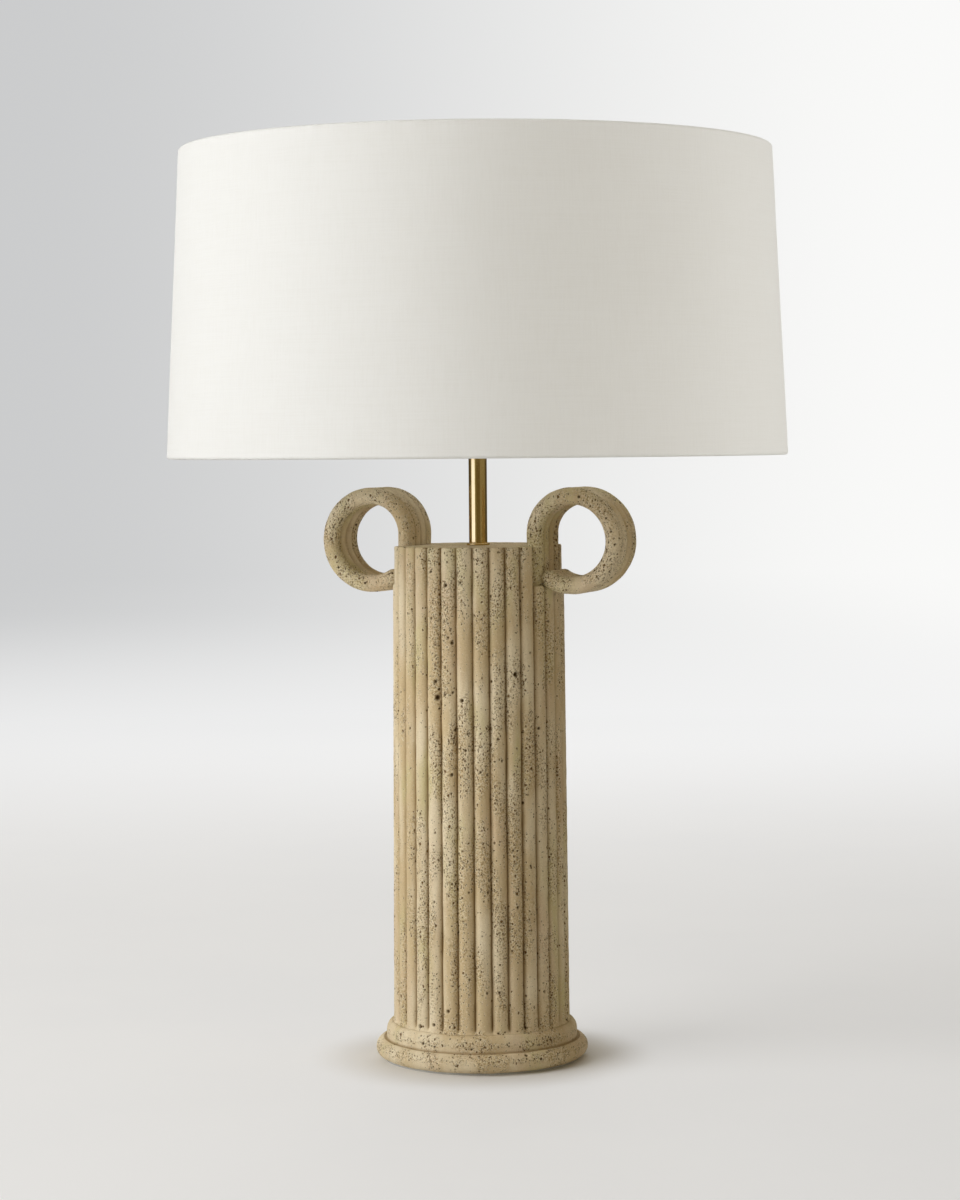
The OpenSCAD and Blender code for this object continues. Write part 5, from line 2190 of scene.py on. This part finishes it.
@dataclass
class Studio:
    """Camera, lights, floor and the pale surroundings."""

    azimuth: float = 21.2
    distance: float = 2.467
    height: float = 0.5098
    pitch: float = 3.053
    roll: float = -0.45
    yaw: float = -0.025
    lens: float = 90.0
    sensor: float = 36.0
    pale: Colour = (0.90, 0.90, 0.90, 1)
    backdrop_left: Colour = (0.60, 0.605, 0.61, 1)
    backdrop_right: Colour = (0.95, 0.95, 0.94, 1)
    half_view: float = 0.16
    sky: Colour = (0.89, 0.76, 0.53, 1)
    sky_strength: float = 0.24
    floor_r: float = 9.0
    floor_light: Colour = (0.86, 0.86, 0.86, 1)
    floor_dark: Colour = (0.81, 0.815, 0.825, 1)
    # How the floor turns into the backdrop with the distance from the lamp, in metres.
    floor_fade: Ramp = Ramp(0.8, 7.0)
    floor_glow: Ramp = Ramp(0.4, 3.2, 0.5, 1.0)
    # The glow fades out close to the foot, so the floor darkens there as painted shadow.
    painted_foot_shadow: Ramp = Ramp(0.084, 0.150)
    card_r: float = 3.6
    card_h: float = 2.4
    lights: tuple[SoftLight, ...] = (
        SoftLight("key_left", (-1.68, -1.81, 1.45), (0.0, 0.0, 0.45), 2.2, 57.0),
        SoftLight("top_soft", (-0.3, 0.4, 2.4), (0.0, 0.0, 0.4), 1.6, 5.5, glossy=True),
        SoftLight("fill_right", (2.2, -1.0, 0.9), (0.0, 0.0, 0.4), 1.4, 2.0, colour=(1.0, 0.82, 0.55)),
        SoftLight("back_soft", (-0.98, 2.52, 1.0), (0.0, 0.0, 0.4), 1.6, 15.0),
    )
    shade_lights: tuple[SoftLight, ...] = (
        SoftLight("shade_right", (2.16, 0.78, 0.75), (0.0, 0.0, 0.617), 0.8, 20.5, glossy=True),
        SoftLight("shade_front", (1.71, -1.38, 0.75), (0.0, 0.0, 0.617), 1.2, 8.8, glossy=True),
    )
    cards: tuple[Card, ...] = (
        Card("white_card_left", -84.0, -39.0, (1.65, 1.82, 2.80)),
        Card("dim_card_left", -39.0, -22.0, (0.34, 0.32, 0.20)),
        Card("dark_card_front", -22.0, 28.0, (0.155, 0.122, 0.058)),
        Card("dim_card_right", 28.0, 100.0, (0.29, 0.26, 0.18)),
        Card("dark_card_back", 100.0, 265.0, (0.10, 0.084, 0.055)),
    )

    def build(self) -> None:
        """Places everything that isn't part of the lamp."""
        self._camera()
        self._world()
        self._floor()
        for light in self.lights:
            light.stand()
        for card in self.cards:
            self._hang(card)

    def light_shade(self, pieces: Sequence[Piece]) -> None:
        """Lights the shade alone, from the right and softly from the front, as flagged lights do.

        Args:
            pieces: The shade's pieces that get this light.
        """
        lit = bpy.data.collections.new("lit_shade")
        for piece in pieces:
            lit.objects.link(piece)
        for light in self.shade_lights:
            light.stand().light_linking.receiver_collection = lit

    def _camera(self) -> None:
        """The camera at the picture's viewing angle."""
        a = math.radians(self.azimuth + self.yaw)
        back = Vector((math.sin(a) * math.cos(math.radians(self.pitch)),
                       -math.cos(a) * math.cos(math.radians(self.pitch)),
                       math.sin(math.radians(self.pitch))))
        data = bpy.data.cameras.new("camera")
        data.lens = self.lens
        data.sensor_width = self.sensor
        data.sensor_fit = "AUTO"
        camera = bpy.data.objects.new("camera", data)
        stand = math.radians(self.azimuth)
        camera.location = (self.distance * math.sin(stand), -self.distance * math.cos(stand), self.height)
        camera.rotation_mode = "QUATERNION"
        turn = Quaternion((0, 0, 1), math.radians(self.roll))
        camera.rotation_quaternion = (-back).to_track_quat("-Z", "Y") @ turn
        bpy.context.scene.collection.objects.link(camera)
        bpy.context.scene.camera = camera

    def _backdrop(self, n: Nodes, direction: Socket, reach: float) -> Socket:
        """Makes the backdrop's colour, greyer on the left.

        Args:
            n: The tree that gets it.
            direction: Vectors in the scene.
            reach: How far these go across the view, from -reach to reach.

        Returns:
            The colour.
        """
        a = math.radians(self.azimuth)
        across = n.along(direction, (math.cos(a), math.sin(a), 0.0))
        return n.wash(self.backdrop_left, across, Ramp(-reach, reach), self.backdrop_right)

    def _world(self) -> None:
        """Soft light from all round, seen by the camera and in gloss as a pale backdrop."""
        world = bpy.data.worlds.new("studio")
        world.use_nodes = True
        n = Nodes(world.node_tree)
        light = n.tree.nodes["Background"]
        light.inputs["Color"].default_value = self.sky
        light.inputs["Strength"].default_value = self.sky_strength
        backdrop = self._backdrop(n, n.add("ShaderNodeTexCoord").outputs["Generated"], self.half_view)
        seen = n.add("ShaderNodeBackground", {"Color": backdrop, "Strength": 1.0})
        n.show(n.blend(n.seen_directly(), light, seen), "World Output")
        bpy.context.scene.world = world

    def _floor(self) -> None:
        """A round pale floor that fades into the backdrop away from the lamp and darkens close to the foot as
        painted shadow.
        """
        mesh = bpy.data.meshes.new("floor")
        bm = bmesh.new()
        bmesh.ops.create_circle(bm, cap_ends=True, segments=96, radius=self.floor_r)
        bm.to_mesh(mesh)
        bm.free()
        floor = bpy.data.objects.new("floor", mesh)
        bpy.context.scene.collection.objects.link(floor)
        s = Shader("pale_floor")
        colour = s.wash(self.floor_light, s.clouds(Clouds(3, 4)), Ramp(0.4, 0.65, 0.0, 0.5), self.floor_dark)
        s.set(Base_Color=colour, Roughness=0.75, Specular_IOR_Level=0.2)
        far = s.vectors("LENGTH", {0: s.place()}, "Value")
        backdrop = self._backdrop(s, s.place(), (self.floor_r + self.distance) * self.half_view)
        glow = s.add("ShaderNodeEmission", {"Color": s.wash(self.pale, far, self.floor_fade, backdrop)})
        share = s.times(s.span(far, self.floor_glow), s.seen_directly())
        # Painted shadow: no glow next to the foot.
        s.show(s.blend(s.times(share, s.span(far, self.painted_foot_shadow)), s.surface, glow))
        mesh.materials.append(s.material)

    def _hang(self, card: Card) -> None:
        """Hangs a card round the lamp.

        Args:
            card: What it is.
        """
        turn = np.radians(self.azimuth - 90 + np.linspace(card.start, card.end, 25))
        line = np.column_stack([np.cos(turn), np.sin(turn)]) * self.card_r / MM
        low = np.column_stack([line, np.full(len(line), -1.0)])
        high = np.column_stack([line, np.full(len(line), self.card_h / MM)])
        count = len(line)
        faces = [[i, i + 1, count + i + 1, count + i] for i in range(count - 1)]
        obj = MeshMaker.piece(card.name, np.vstack([low, high]), faces)
        s = Shader(card.name)
        s.show(s.add("ShaderNodeEmission", {"Color": (*card.glow, 1), "Strength": 1.0}))
        obj.data.materials.append(s.material)
        for ray in ("camera", "diffuse", "transmission", "shadow"):
            setattr(obj, f"visible_{ray}", False)


@dataclass
class TableLamp:
    """The whole lamp, piece by piece."""

    finishes: Finishes = field(default_factory=Finishes)

    def build(self) -> tuple[Piece, Piece]:
        """Builds every sub-assembly in order.

        Returns:
            The shade's cloth and liner.
        """
        self._stone()
        for part in (Stem(), Harp(), LampSocket(), Bulb()):
            part.build(self.finishes)
        shade = DrumShade().build(self.finishes)
        Finial().build(self.finishes)
        CarriedNodes(self.finishes).build()
        return shade

    def _stone(self) -> None:
        """The column, both handles and the foot."""
        column = ReededColumn().build(Carver(11))
        dress(column, self.finishes.stone, Body.LAMP, ["column"])
        for name, mirror, seed in (("right_handle", False, 21), ("left_handle", True, 34)):
            handle = CurledHandle().build(f"{name}_curled", mirror, Carver(seed))
            dress(handle, self.finishes.stone, Body.LAMP, [name])
        plinth = Plinth().build(Carver(47))
        dress(plinth, self.finishes.stone, Body.LAMP, ["plinth"])


def main() -> None:
    """Builds the lamp and the studio."""
    logging.basicConfig(level=logging.INFO, format="%(message)s")
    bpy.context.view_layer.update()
    studio = Studio()
    studio.build()
    studio.light_shade(TableLamp().build())
    bpy.context.scene.view_settings.view_transform = "Standard"


if __name__ == "__main__":
    main()
